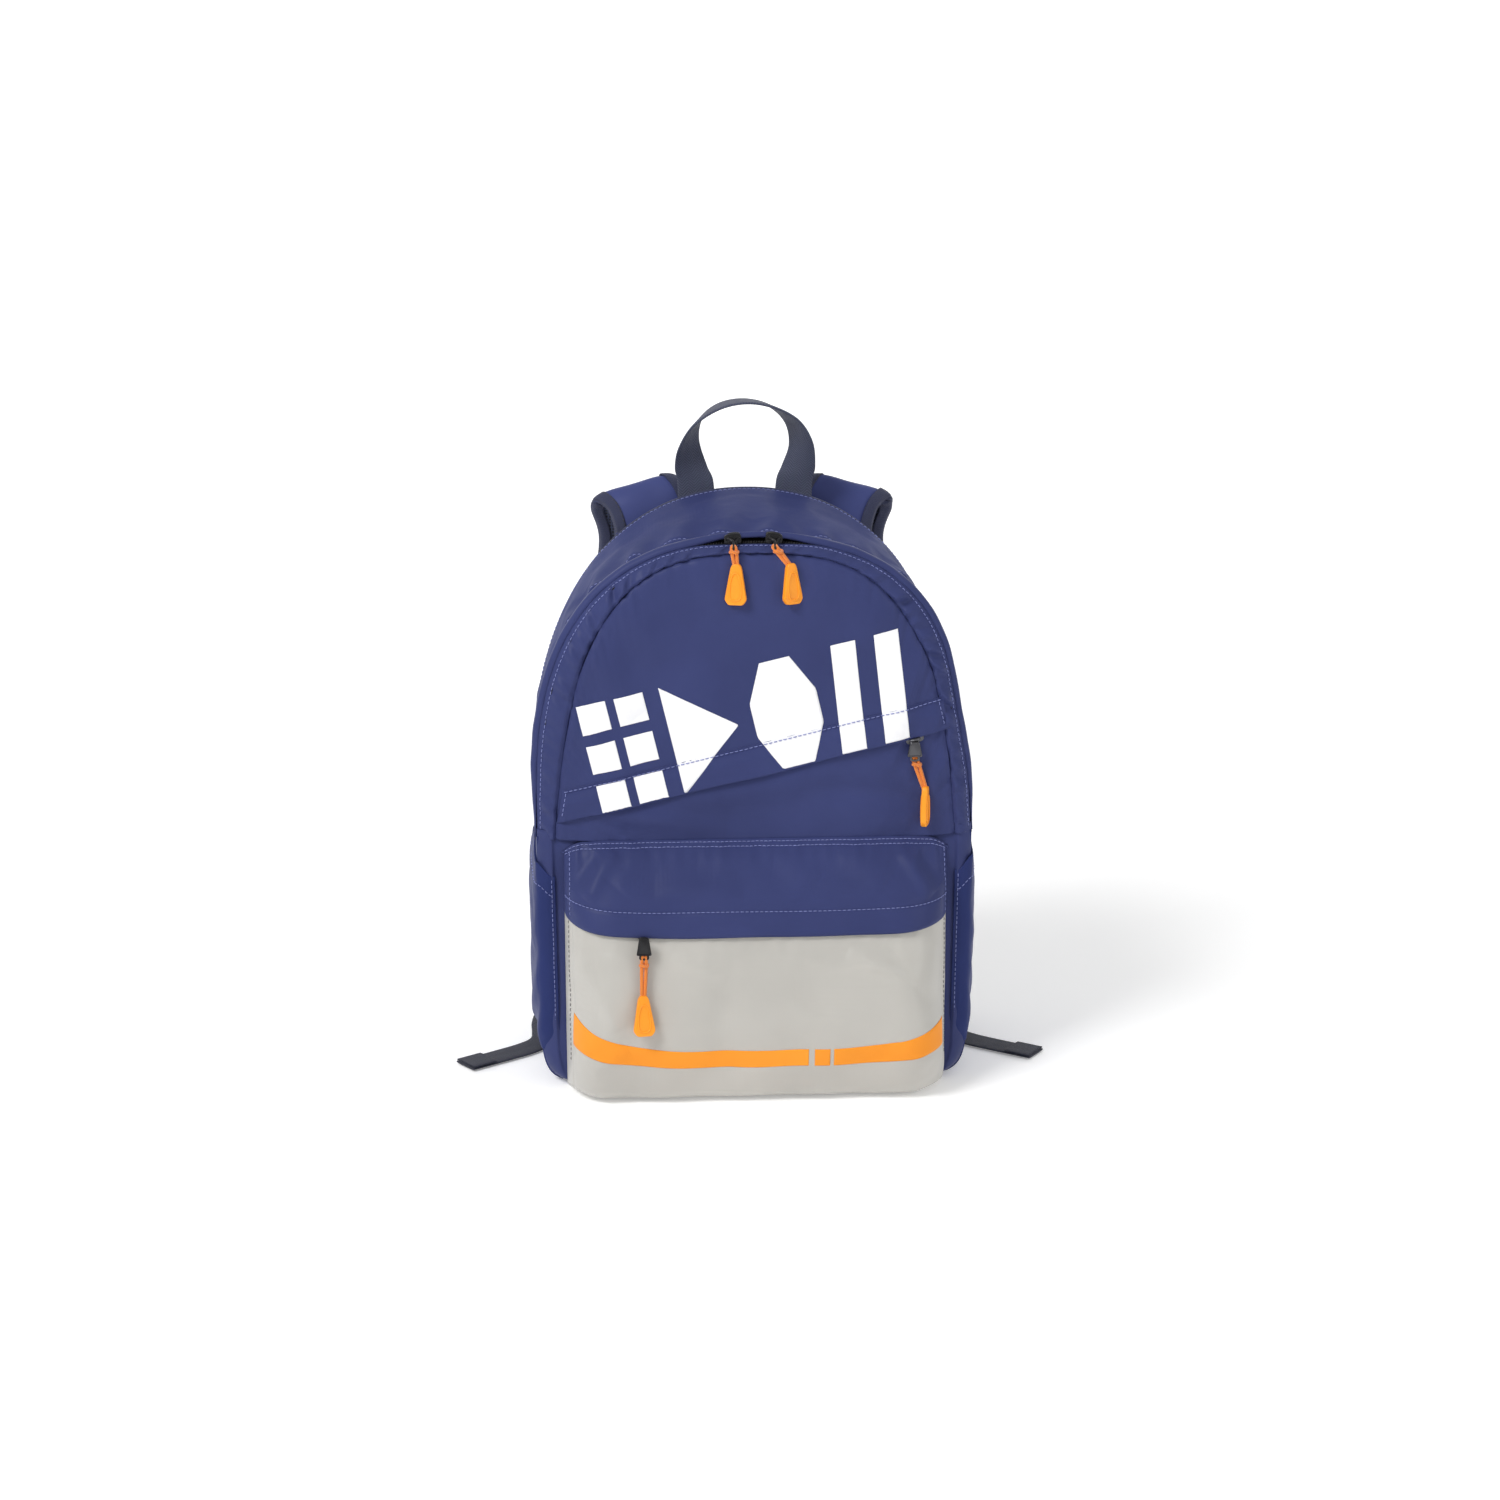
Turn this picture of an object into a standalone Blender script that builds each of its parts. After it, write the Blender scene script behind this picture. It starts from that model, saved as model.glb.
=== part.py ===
"""School backpack: an arched two-zip day pack with a front pocket, a welt pocket, straps and a handle.

Metres, +Z up. The origin is the centre of the flat base under the main compartment, and the front
of the bag faces -Y. Every piece is its own closed solid.
"""

import math

import bmesh
import bpy
from mathutils import Vector

MM = 0.001

# Driving dimensions, in millimetres.
BODY_HALF_WIDTH = 150.0
ARCH_CENTRE_Z = 200.0
ZIP_ARCH_POWER = 2.5
BACK_ARCH_POWER = 2.3
ZIP_ARCH_RISE = 180.0
BACK_ARCH_RISE = 197.5
GUSSET_FRONT_Y = -46.0
GUSSET_BACK_Y = 55.0
FOLD_Z = 176.0
PANEL_FRONT_Y = -62.5
PANEL_HALF_WIDTH = 136.0
PANEL_ARCH_RISE = 171.0
FABRIC = 1.6
SIDE_X = 148.0
BASE_CORNER = 24.0
BASE_BACK_Y = 55.0
BASE_FRONT_Y = -58.5
LOWER_FRONT_Y = -61.0
POCKET_HALF_WIDTH = 131.0
POCKET_FLAT = 92.0
POCKET_BACK_Y = -62.9
HEM_Z = 118.0
SIDE_POCKET_TOP = 160.0
WEBBING_WIDTH = 25.0
TAIL_WIDTH = 22.0
WEBBING_THICK = 1.4
STRAP_THICK = 9.0
ZIP_TRACK_Z = 169.0
SLIDER_ANGLES = {"left": -4.06, "right": 3.42}
TAG_WIDTH = 15.0
TAG_LENGTH = 26.0
TAG_THICK = 4.0
ARCH_STEPS = 36

COLOURS = {
    "navy_fabric": ((0.045, 0.055, 0.16), 0.45, 0.0),
    "navy_side": ((0.032, 0.04, 0.13), 0.5, 0.0),
    "grey_reflective": ((0.55, 0.54, 0.50), 0.4, 0.0),
    "handle_webbing": ((0.035, 0.045, 0.09), 0.7, 0.0),
    "dark_webbing": ((0.02, 0.023, 0.05), 0.75, 0.0),
    "strap_fabric": ((0.045, 0.055, 0.15), 0.5, 0.0),
    "air_mesh": ((0.015, 0.017, 0.03), 0.85, 0.0),
    "foam": ((0.3, 0.3, 0.31), 0.9, 0.0),
    "board": ((0.12, 0.12, 0.13), 0.5, 0.0),
    "zip_tape": ((0.012, 0.013, 0.02), 0.8, 0.0),
    "zip_coil": ((0.01, 0.01, 0.012), 0.4, 0.0),
    "black_metal": ((0.02, 0.02, 0.022), 0.35, 0.9),
    "grey_metal": ((0.12, 0.12, 0.13), 0.4, 0.9),
    "black_plastic": ((0.015, 0.015, 0.017), 0.45, 0.0),
    "orange_cord": ((0.95, 0.22, 0.03), 0.6, 0.0),
    "orange_rubber": ((1.0, 0.36, 0.03), 0.45, 0.0),
}


def clear_scene():
    for obj in list(bpy.data.objects):
        bpy.data.objects.remove(obj, do_unlink=True)


def new_collection(name):
    collection = bpy.data.collections.new(name)
    bpy.context.scene.collection.children.link(collection)
    return collection


def material(name):
    """The Principled material of one slot, made the first time it is asked for."""
    found = bpy.data.materials.get(name)
    if found:
        return found
    colour, roughness, metallic = COLOURS[name]
    made = bpy.data.materials.new(name)
    made.use_nodes = True
    shader = made.node_tree.nodes["Principled BSDF"]
    shader.inputs["Base Color"].default_value = (*colour, 1.0)
    shader.inputs["Roughness"].default_value = roughness
    shader.inputs["Metallic"].default_value = metallic
    return made


def place(name, data, slot, pivot=(0.0, 0.0, 0.0)):
    """Link an object whose origin is at pivot; its data is given relative to that pivot."""
    obj = bpy.data.objects.new(name, data)
    obj.location = Vector(pivot) * MM
    data.materials.append(material(slot))
    PARTS.objects.link(obj)
    return obj


def turning_left(outline):
    """The outline in counter-clockwise order."""
    ends = list(outline[1:]) + [outline[0]]
    area = sum(a[0] * b[1] - b[0] * a[1] for a, b in zip(outline, ends))
    return list(outline) if area > 0 else list(reversed(outline))


def flat_solid(name, outline, plane, low, high, slot):
    """A flat outline extruded between two depths; plane is XZ (deep in Y), YZ (deep in X) or XY."""
    outline = turning_left(outline)
    curve = bpy.data.curves.new(name, "CURVE")
    curve.dimensions = "2D"
    curve.fill_mode = "BOTH"
    curve.extrude = (high - low) / 2 * MM
    spline = curve.splines.new("POLY")
    spline.points.add(len(outline) - 1)
    for point, (u, v) in zip(spline.points, outline):
        point.co = (u * MM, v * MM, 0.0, 1.0)
    spline.use_cyclic_u = True
    obj = place(name, curve, slot)
    middle = (low + high) / 2 * MM
    if plane == "XZ":
        obj.rotation_euler = (math.radians(90), 0, 0)
        obj.location.y = middle
    elif plane == "YZ":
        obj.rotation_euler = (math.radians(90), 0, math.radians(90))
        obj.location.x = middle
    else:
        obj.location.z = middle
    return obj


def sheet_solid(name, grid, thickness, slot, pivot=(0.0, 0.0, 0.0)):
    """An open surface through a grid of points, thickened by Solidify on the side away from its normal."""
    mesh = bpy.data.meshes.new(name)
    build = bmesh.new()
    origin = Vector(pivot)
    rows = [[build.verts.new((Vector(p) - origin) * MM) for p in row] for row in grid]
    for upper, lower in zip(rows, rows[1:]):
        for i in range(len(upper) - 1):
            build.faces.new((upper[i], lower[i], lower[i + 1], upper[i + 1]))
    build.to_mesh(mesh)
    build.free()
    obj = place(name, mesh, slot, pivot)
    thick = obj.modifiers.new("Thickness", "SOLIDIFY")
    thick.thickness = thickness * MM
    thick.offset = -1.0
    return obj


def prism(name, plan, low, high, slot):
    """A mesh solid: a flat plan in XY raised between two heights."""
    mesh = bpy.data.meshes.new(name)
    build = bmesh.new()
    floor = build.faces.new([build.verts.new(Vector((x, y, low)) * MM) for x, y in plan])
    raised = bmesh.ops.extrude_face_region(build, geom=[floor])
    top = [v for v in raised["geom"] if isinstance(v, bmesh.types.BMVert)]
    bmesh.ops.translate(build, vec=(0, 0, (high - low) * MM), verts=top)
    bmesh.ops.recalc_face_normals(build, faces=build.faces)
    build.to_mesh(mesh)
    build.free()
    return place(name, mesh, slot)


def tube(name, points, radius, slot, pivot=(0.0, 0.0, 0.0), resolution=2):
    """A round bar along a list of points, with filled ends."""
    curve = bpy.data.curves.new(name, "CURVE")
    curve.dimensions = "3D"
    curve.bevel_depth = radius * MM
    curve.bevel_resolution = resolution
    curve.use_fill_caps = True
    spline = curve.splines.new("POLY")
    spline.points.add(len(points) - 1)
    for point, co in zip(spline.points, points):
        point.co = (*((Vector(co) - Vector(pivot)) * MM), 1.0)
    return place(name, curve, slot, pivot)


def block(name, low, high, slot, pivot=(0.0, 0.0, 0.0), bevel=0.0):
    """A box between two corners, with rounded edges where bevel is above 0."""
    mesh = bpy.data.meshes.new(name)
    build = bmesh.new()
    bmesh.ops.create_cube(build, size=1.0)
    size = Vector(high) - Vector(low)
    middle = (Vector(high) + Vector(low)) / 2 - Vector(pivot)
    bmesh.ops.scale(build, vec=size * MM, verts=build.verts)
    bmesh.ops.translate(build, vec=middle * MM, verts=build.verts)
    build.to_mesh(mesh)
    build.free()
    obj = place(name, mesh, slot, pivot)
    if bevel:
        edge = obj.modifiers.new("Edge", "BEVEL")
        edge.width = bevel * MM
        edge.segments = 1
    return obj


def smooth_path(points, steps):
    """Catmull-Rom curve through points of any dimension, with steps pieces between each two."""
    ends = [points[0]] + list(points) + [points[-1]]
    path = []
    for a, b, c, d in zip(ends, ends[1:], ends[2:], ends[3:]):
        for k in range(steps):
            t = k / steps
            weights = (
                (-t**3 + 2 * t**2 - t) / 2,
                (3 * t**3 - 5 * t**2 + 2) / 2,
                (-3 * t**3 + 4 * t**2 + t) / 2,
                (t**3 - t**2) / 2,
            )
            path.append(tuple(sum(w * p[i] for w, p in zip(weights, (a, b, c, d))) for i in range(len(b))))
    path.append(tuple(points[-1]))
    return path


def mirrored(points, side):
    """Left-hand points as they are, or with X turned over for the right-hand side."""
    return [((x if side == "left" else -x), *rest) for x, *rest in points]


# Outlines of the arched body.

def arch_point(turn, half_width, rise, power):
    """A point of the arch; turn runs from 0 at the left foot, over the top at 0.5, to 1."""
    angle = math.pi * (1 - turn)
    reach = 2 / power
    x = half_width * math.copysign(abs(math.cos(angle)) ** reach, math.cos(angle))
    return x, ARCH_CENTRE_Z + rise * abs(math.sin(angle)) ** reach


def arch(half_width, rise, foot=FOLD_Z + 0.5, power=ZIP_ARCH_POWER):
    """The arch from its left foot over the top to its right foot."""
    points = [arch_point(i / ARCH_STEPS, half_width, rise, power) for i in range(ARCH_STEPS + 1)]
    return [(-half_width, foot)] + points + [(half_width, foot)]


def arch_band(name, front, back, thickness, slot):
    """A band around the arch between two edges, each given as (inset, y, extra rise)."""
    grid = []
    for inset, y, rise in (back, front):
        outline = arch(BODY_HALF_WIDTH - inset, ZIP_ARCH_RISE - inset + rise)
        grid.append([(x, y, z) for x, z in outline])
    return sheet_solid(name, grid, thickness, slot)


def lower_outline(half_width, top, corner):
    """Sides and rounded bottom corners, from the top left down and round to the top right."""
    points = [(-half_width, top)]
    for i in range(7):
        angle = math.radians(90 * i / 6)
        points.append((-half_width + corner * (1 - math.cos(angle)), corner * (1 - math.sin(angle))))
    return points + [(-x, z) for x, z in reversed(points)]


def full_outline(half_width, rise, corner, floor):
    """The whole arched outline with rounded bottom corners."""
    top = arch(half_width, rise, foot=ARCH_CENTRE_Z - 10, power=BACK_ARCH_POWER)
    bottom = lower_outline(half_width, ARCH_CENTRE_Z - 20, corner)
    return top + [(x, z + floor) for x, z in reversed(bottom)]


# Body panels.

def back():
    flat_solid("back_board", full_outline(145, 190, 26, 4), "XZ", 55.6, 57.4, "board")
    flat_solid("back_foam", full_outline(146, 193, 28, 4), "XZ", 57.8, 63.6, "foam")
    flat_solid("back_mesh", full_outline(150, 197, 40, 0), "XZ", 64.0, 70.0, "air_mesh")


def gusset():
    front = (GUSSET_FRONT_Y, ZIP_ARCH_RISE, ZIP_ARCH_POWER)
    rear = (GUSSET_BACK_Y, BACK_ARCH_RISE, BACK_ARCH_POWER)
    grid = []
    for t in (1, 0.667, 0.333, 0):
        y, rise, power = (f + (r - f) * t for f, r in zip(front, rear))
        grid.append([(x, y, z) for x, z in arch(BODY_HALF_WIDTH, rise, power=power)])
    sheet_solid("top_gusset", grid, FABRIC, "navy_fabric")


def side_panels():
    for side, sign in (("left", -1), ("right", 1)):
        outline = lower_outline(SIDE_X, FOLD_Z - 0.5, BASE_CORNER)[:8]
        grid = [[(-sign * x, y, z) for x, z in outline] for y in (BASE_FRONT_Y, BASE_BACK_Y)]
        if sign > 0:
            grid.reverse()
        sheet_solid(f"{side}_side_panel", grid, FABRIC, "navy_side")


def base():
    reach = SIDE_X - BASE_CORNER - 0.4
    block("base_panel", (-reach, BASE_FRONT_Y, 0), (reach, BASE_BACK_Y, FABRIC), "navy_side")
    block("base_board", (-reach + 4, BASE_FRONT_Y + 3, 2.0), (reach - 4, BASE_BACK_Y - 3, 3.6), "board")


def lower_front():
    outline = lower_outline(SIDE_X - 0.4, FOLD_Z - 0.7, BASE_CORNER)
    flat_solid("lower_front_panel", outline, "XZ", LOWER_FRONT_Y, LOWER_FRONT_Y + 1.5, "navy_fabric")


def side_pockets():
    """Shallow pouches on the side panels, each open at its top."""
    wall, depth, front, rear, floor = 1.3, 7.2, -50.0, 50.0, 32.0
    for side, sign in (("left", -1), ("right", 1)):
        near = SIDE_X + 0.4
        pouch = block_pair(side, sign, near, depth, front, rear, floor, SIDE_POCKET_TOP, 0.0)
        hollow = block_pair(side + "_hollow", sign, near, depth, front, rear, floor, SIDE_POCKET_TOP, wall)
        cut = pouch.modifiers.new("Hollow", "BOOLEAN")
        cut.operation = "DIFFERENCE"
        cut.solver = "EXACT"
        cut.object = hollow
        PARTS.objects.unlink(hollow)
        CUTTERS.objects.link(hollow)
        hollow.hide_render = True
        hollow.display_type = "WIRE"


def block_pair(side, sign, near, depth, front, rear, floor, top, wall):
    """The pouch of a side pocket, or with wall above 0 the space inside it, run out past the top."""
    inner, outer = near + wall * 0.7, near + depth - wall
    corner = 14.0 - wall
    y0, y1 = front + wall, rear - wall
    plan = [(inner, y0)]
    for i in range(5):
        angle = math.radians(90 * i / 4)
        plan.append((outer - 4 * (1 - math.sin(angle)), y0 + corner * (1 - math.cos(angle))))
    plan += [(x, y0 + y1 - y) for x, y in reversed(plan)]
    name = f"{side}_side_pocket"
    points = [(sign * x, y) for x, y in plan]
    high = top + (6.0 if wall else 0.0)
    return prism(name, points, floor + wall, high, "navy_side")


def piping():
    outline = arch(BODY_HALF_WIDTH + 0.2, ZIP_ARCH_RISE + 0.2)
    tube("arch_piping", [(x, GUSSET_FRONT_Y - 2.2, z) for x, z in outline], 1.7, "navy_fabric")


# Main zip.

def main_zip():
    arch_band("main_zip_rear_tape", (2.0, -50.0, 0.0), (2.0, -40.0, 0.8), 0.7, "zip_tape")
    arch_band("main_zip_front_tape", (8.0, -58.4, 0.0), (3.4, -55.4, 0.0), 0.6, "zip_tape")
    for name, y in (("main_zip_rear_coil", -51.5), ("main_zip_front_coil", -53.9)):
        outline = arch(BODY_HALF_WIDTH - 2.4, ZIP_ARCH_RISE - 2.4)
        tube(name, [(x, y, z) for x, z in outline], 1.0, "zip_coil", resolution=1)


def on_track(angle, radius):
    """The point of the zip's top arc at an angle from the vertical."""
    turn = math.radians(angle)
    return radius * math.sin(turn), ZIP_TRACK_Z + radius * math.cos(turn)


def main_sliders():
    """Each slider turns about the zip arc's centre; its bail, cord and tag hang in front."""
    radius = ZIP_ARCH_RISE + ARCH_CENTRE_Z - ZIP_TRACK_Z
    for side, angle in SLIDER_ANGLES.items():
        x, z = on_track(angle, radius + 1.2)
        slider = block(f"{side}_main_slider", (x - 4.8, -55.4, z - 1.2), (x + 4.8, -50.4, z + 1.2),
                       "black_metal", pivot=(x, -53.0, z), bevel=0.5)
        slider.rotation_euler = (0, math.radians(angle), 0)
        bail = [(x, -53.5, z + 2.4), (x, -57.0, z + 3.2), (x, -61.5, z + 2.2), (x, -65.0, z - 1.5)]
        tube(f"{side}_main_bail", smooth_path(bail, 3), 0.8, "black_metal", pivot=(x, -53.0, z))
        hanging_pull(f"{side}_main", (x, -66.4, z - 4.0), 14.0, 0.0)


# Pulls: a doubled cord with a moulded tag.

def tag_outline(width, length):
    """Half-hexagon tag: narrow top, widest near the foot, chamfered lower corners."""
    half, neck, foot = width / 2, width * 0.26, width * 0.27
    return [(-foot, -length), (foot, -length), (half, -length * 0.80), (neck, -length * 0.12),
            (neck * 0.8, 0), (-neck * 0.8, 0), (-neck, -length * 0.12), (-half, -length * 0.80)]


def hanging_pull(stem, top, cord_length, lean):
    """A cord and its tag, hanging from top; lean is how far the foot stands forward, in degrees."""
    x, y, z = top
    turn = math.radians(lean)
    direction = Vector((0.0, -math.sin(turn), -math.cos(turn)))
    start = Vector(top)
    half = cord_length / 2
    loop = [start + direction * d + Vector((s, 0, 0)) for d, s in
            ((cord_length, -1.5), (half, -1.5), (1.0, -1.2), (0.0, 0.0), (1.0, 1.2), (half, 1.5), (cord_length, 1.5))]
    tube(f"{stem}_cord", loop, 0.9, "orange_cord", pivot=top)
    tag = flat_solid(f"{stem}_tag", tag_outline(TAG_WIDTH, TAG_LENGTH), "XZ", -TAG_THICK / 2, TAG_THICK / 2,
                     "orange_rubber")
    tag.rotation_euler = (math.radians(90) - turn, 0, 0)
    tag.location = (start + direction * (cord_length + 0.4) + Vector((0, -0.3, 0))) * MM


# Front panel that folds down.

def front_panel():
    outline = arch(PANEL_HALF_WIDTH, PANEL_ARCH_RISE)
    flat_solid("front_panel", outline, "XZ", PANEL_FRONT_Y, PANEL_FRONT_Y + 1.5, "navy_fabric")
    grid = []
    for inset_x, inset_z, y in ((1.0, 1.0, -56.0), (6.0, 3.6, PANEL_FRONT_Y + 2.6), (13.3, 8.3, PANEL_FRONT_Y)):
        outline = arch(BODY_HALF_WIDTH - inset_x, ZIP_ARCH_RISE - inset_z)
        grid.append([(x, y, z) for x, z in outline])
    sheet_solid("zip_strip", grid, 1.2, "navy_fabric")


WELT_LEFT = (-130.0, 187.5)
WELT_RIGHT = (130.0, 249.0)
WELT_HEIGHT = 22.0
WELT_SLIDER_AT = 0.915


def welt_edge(t):
    """A point of the welt's lower edge, from its left end at 0 to its right end at 1."""
    return tuple(a + (b - a) * t for a, b in zip(WELT_LEFT, WELT_RIGHT))


def welt():
    """A folded strip across the front panel with a zip under its lower edge."""
    x0, z0 = welt_edge(0.02)
    x1, z1 = welt_edge(0.98)
    flap = [(x0, z0), (x1, z1), (x1, z1 + WELT_HEIGHT), (x0, z0 + WELT_HEIGHT)]
    flat_solid("welt_flap", flap, "XZ", PANEL_FRONT_Y - 1.8, PANEL_FRONT_Y - 0.3, "navy_fabric")
    tape = [(x0, z0 - 6.0), (x1, z1 - 6.0), (x1, z1 - 0.5), (x0, z0 - 0.5)]
    flat_solid("welt_zip", tape, "XZ", PANEL_FRONT_Y - 1.3, PANEL_FRONT_Y - 0.3, "zip_tape")


def zip_puller(name, pivot, length, width, lean, slot):
    """A flat metal puller, wider at its foot, hanging from pivot."""
    half = width / 2
    outline = [(-half, -length), (half, -length), (half * 0.6, 0), (-half * 0.6, 0)]
    obj = flat_solid(name, outline, "XZ", -0.8, 0.8, slot)
    obj.rotation_euler = (math.radians(90 - lean), 0, 0)
    obj.location = Vector(pivot) * MM


def welt_pull():
    x, z = welt_edge(WELT_SLIDER_AT)
    z -= 3.2
    front = PANEL_FRONT_Y - 1.7
    slope = math.degrees(math.atan2(WELT_RIGHT[1] - WELT_LEFT[1], WELT_RIGHT[0] - WELT_LEFT[0]))
    slider = block("welt_slider", (x - 4.5, front - 2.6, z - 2.2), (x + 4.5, front, z + 2.2), "grey_metal",
                   pivot=(x, front, z), bevel=0.4)
    slider.rotation_euler = (0, -math.radians(slope), 0)
    zip_puller("welt_puller", (x, front - 4.0, z + 0.5), 13.0, 9.0, 0.0, "grey_metal")
    hanging_pull("welt", (x, front - 4.6, z - 13.8), 15.0, 0.0)


# Front pocket.

def pocket_shape(x):
    """How much of the full depth the pocket has at x: 1 over the flat middle, rounding off to its sides."""
    beyond = max(0.0, abs(x) - POCKET_FLAT) / (POCKET_HALF_WIDTH - POCKET_FLAT)
    return 0.012 + 0.988 * max(0.0, 1 - beyond**2.2) ** 0.5


def pocket_columns(count=24):
    """Positions across the pocket, closer together on its rounded sides."""
    return [POCKET_HALF_WIDTH * math.sin(math.pi / 2 * (2 * i / count - 1)) for i in range(count + 1)]


def pocket_loft(name, profile, side_rise, thickness, slot, half=1.0):
    """A skin round the pocket: profile is (depth, height) down its middle, and side_rise lifts its ends."""
    grid = []
    for depth, z, rise in ((d, z, side_rise * r) for d, z, r in profile):
        row = []
        for x in pocket_columns():
            lift = rise * (abs(x) / POCKET_HALF_WIDTH) ** 6
            row.append((x * half, POCKET_BACK_Y - depth * pocket_shape(x), z + lift))
        grid.append(row)
    return sheet_solid(name, grid, thickness, slot)


def front_pocket():
    flap = ((0.5, 173.0, 0), (6.0, 171.0, 0), (17.0, 161.0, 0), (31.0, 143.0, 0), (39.0, 129.0, 0.7), (42.0, HEM_Z, 1))
    pocket_loft("front_pocket_flap", flap, 9.0, FABRIC, "navy_fabric")
    shell = ((41.5, HEM_Z - 5.0, 1), (45.5, 100.0, 0.6), (50.5, 80.0, 0.3), (52.5, 58.0, 0), (51.0, 32.0, 0),
             (45.0, 12.0, 0), (38.0, 3.0, 0), (28.0, 0.8, 0), (0.5, 0.8, 0))
    pocket_loft("front_pocket_shell", shell, 8.0, 1.5, "grey_reflective")
    for name, depth, top, height in (("pocket_zip_upper", 36.5, 128.0, 9.0), ("pocket_zip_lower", 38.5, 112.0, 9.0)):
        profile = ((depth, top, 0), (depth, top - height, 0))
        pocket_loft(name, profile, 0.0, 0.7, "zip_tape", half=0.93)


def pocket_pull():
    x, z = -78.0, HEM_Z - 2.6
    front = POCKET_BACK_Y - 43.0
    block("pocket_slider", (x - 4.5, front - 3.4, z - 1.7), (x + 4.5, front + 5.0, z + 1.7), "black_metal",
          pivot=(x, front, z), bevel=0.4)
    zip_puller("pocket_puller", (x, front - 5.0, z + 1.0), 15.0, 10.0, 6.0, "black_metal")
    hanging_pull("pocket", (x, front - 7.4, z - 15.6), 18.0, 11.0)


# Webbing and straps.

def ribbon(name, stations, thickness, slot, steps=3, pivot=(0.0, 0.0, 0.0)):
    """A flat band through stations of (x, y, z, width vector x, y, z)."""
    left, right = [], []
    for x, y, z, a, b, c in smooth_path(stations, steps):
        centre, half = Vector((x, y, z)), Vector((a, b, c)) / 2
        left.append(centre - half)
        right.append(centre + half)
    return sheet_solid(name, [left, right], thickness, slot, pivot)


HANDLE_FOOT_Z = 400.0
HANDLE_TOP_Z = 458.5


def grab_handle():
    """A webbing loop: flat against the back at its feet, turned flat side up at its top."""
    rise = HANDLE_TOP_Z - HANDLE_FOOT_Z
    half = [(-35, 0, 0, 25, 2, 0), (-38, 0, 0.22, 23, 9, 0), (-39.5, 0, 0.5, 15, 20, 4), (-33, 0, 0.76, 8, 23, 4),
            (-18, 0, 0.94, 2, 24.5, 1.5)]
    stations = [(x, 60.0 + y, HANDLE_FOOT_Z + rise * z, a, b, c) for x, y, z, a, b, c in half]
    top = [(0.0, 60.0, HANDLE_TOP_Z, 0, WEBBING_WIDTH, 0)]
    other = [(-x, y, z, -a, b, -c) for x, y, z, a, b, c in reversed(stations)]
    # The far leg twists the other way, so its width vector turns through the Y direction too.
    ribbon("grab_handle", stations + top + other, WEBBING_THICK, "handle_webbing", pivot=(0, 60, HANDLE_FOOT_Z))


def yoke():
    outline = [(-92, 338), (92, 338), (88, 364), (60, 371), (-60, 371), (-88, 364)]
    flat_solid("strap_yoke", outline, "XZ", 70.4, 72.4, "navy_fabric")


STRAP_STATIONS = (
    (-62, 74, 346, 56, 0, 0), (-63, 75, 370, 57, 0, 4), (-69, 80, 388, 56, 0, 12), (-78, 91, 396, 57, 0, 16),
    (-80, 103, 386, 56, 0, 14), (-75, 110, 355, 54, 0, 6), (-82, 110, 300, 58, 0, 0), (-92, 104, 240, 58, 0, 0),
    (-99, 97, 185, 54, 0, 0), (-99, 92, 146, 42, 0, 0),
)


def straps():
    for side in ("left", "right"):
        stations = mirrored(STRAP_STATIONS, side)
        if side == "right":
            stations = [(x, y, z, a, b, -c) for x, y, z, a, b, c in stations]
        pivot = (stations[0][0], 76.0, 372.0)
        ribbon(f"{side}_shoulder_strap", stations, STRAP_THICK, "strap_fabric", steps=3, pivot=pivot)


def ladder_locks():
    """A two-bar adjuster below each strap pad: a frame with two open slots."""
    for side, sign in (("left", -1), ("right", 1)):
        x, y, top = sign * 99.0, 87.5, 141.0
        frame = [(x - 17, top), (x + 17, top), (x + 17, top - 24), (x - 17, top - 24)]
        name = f"{side}_ladder_lock"
        lock = flat_solid(name, frame, "XZ", y - 1.6, y + 1.6, "black_plastic")
        curve = lock.data
        for low in (top - 21.0, top - 10.5):
            spline = curve.splines.new("POLY")
            spline.points.add(3)
            corners = ((x - 13, low), (x - 13, low + 6.5), (x + 13, low + 6.5), (x + 13, low))
            for point, (u, v) in zip(spline.points, corners):
                point.co = (u * MM, v * MM, 0.0, 1.0)
            spline.use_cyclic_u = True


def lower_webbing():
    """Webbing from the base corners up to the adjusters, and its free tails out on the floor."""
    wide = TAIL_WIDTH
    for side, sign in (("left", -1), ("right", 1)):
        tab = [(sign * u, z) for u, z in ((140, 8), (106, 8), (112, 34), (134, 34))]
        flat_solid(f"{side}_anchor_tab", tab, "XZ", 70.4, 72.0, "dark_webbing")
        stations = [(-120, 74.5, 12, wide, 0, 0), (-119, 75.5, 30, wide, 0, 0), (-110, 80, 70, wide, 0, 0),
                    (-101, 82, 110, wide, 0, 0), (-99, 83, 118, wide, 0, 0)]
        ribbon(f"{side}_lower_webbing", mirrored(stations, side), WEBBING_THICK, "dark_webbing", steps=2)
        tail = [(-99, 92, 116, wide, 0, 0), (-106, 93, 85, wide, 0, 0), (-122, 93, 45, wide, 0, 0),
                (-136, 91, 14, wide, 0, 0), (-142, 85, 3.5, wide, 0, 0), (-145, 76, 1.6, wide, 0, 0),
                (-148, 58, 1.5, wide, 1, 0), (-150, 36, 1.5, 20, 9, 0), (-156, 19, 1.5, 16, 15, 0),
                (-168, 3, 1.5, 14, 17, 0), (-203, -27, 1.5, 14, 17, 0)]
        ribbon(f"{side}_strap_tail", mirrored_band(tail, side), WEBBING_THICK, "dark_webbing", steps=2)


def mirrored_band(stations, side):
    """Stations of a band for either side; mirroring turns the width vector's Y over with its X kept."""
    if side == "left":
        return [(x, y, z, a, -b, c) for x, y, z, a, b, c in stations]
    return [(-x, y, z, a, b, c) for x, y, z, a, b, c in stations]


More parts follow.
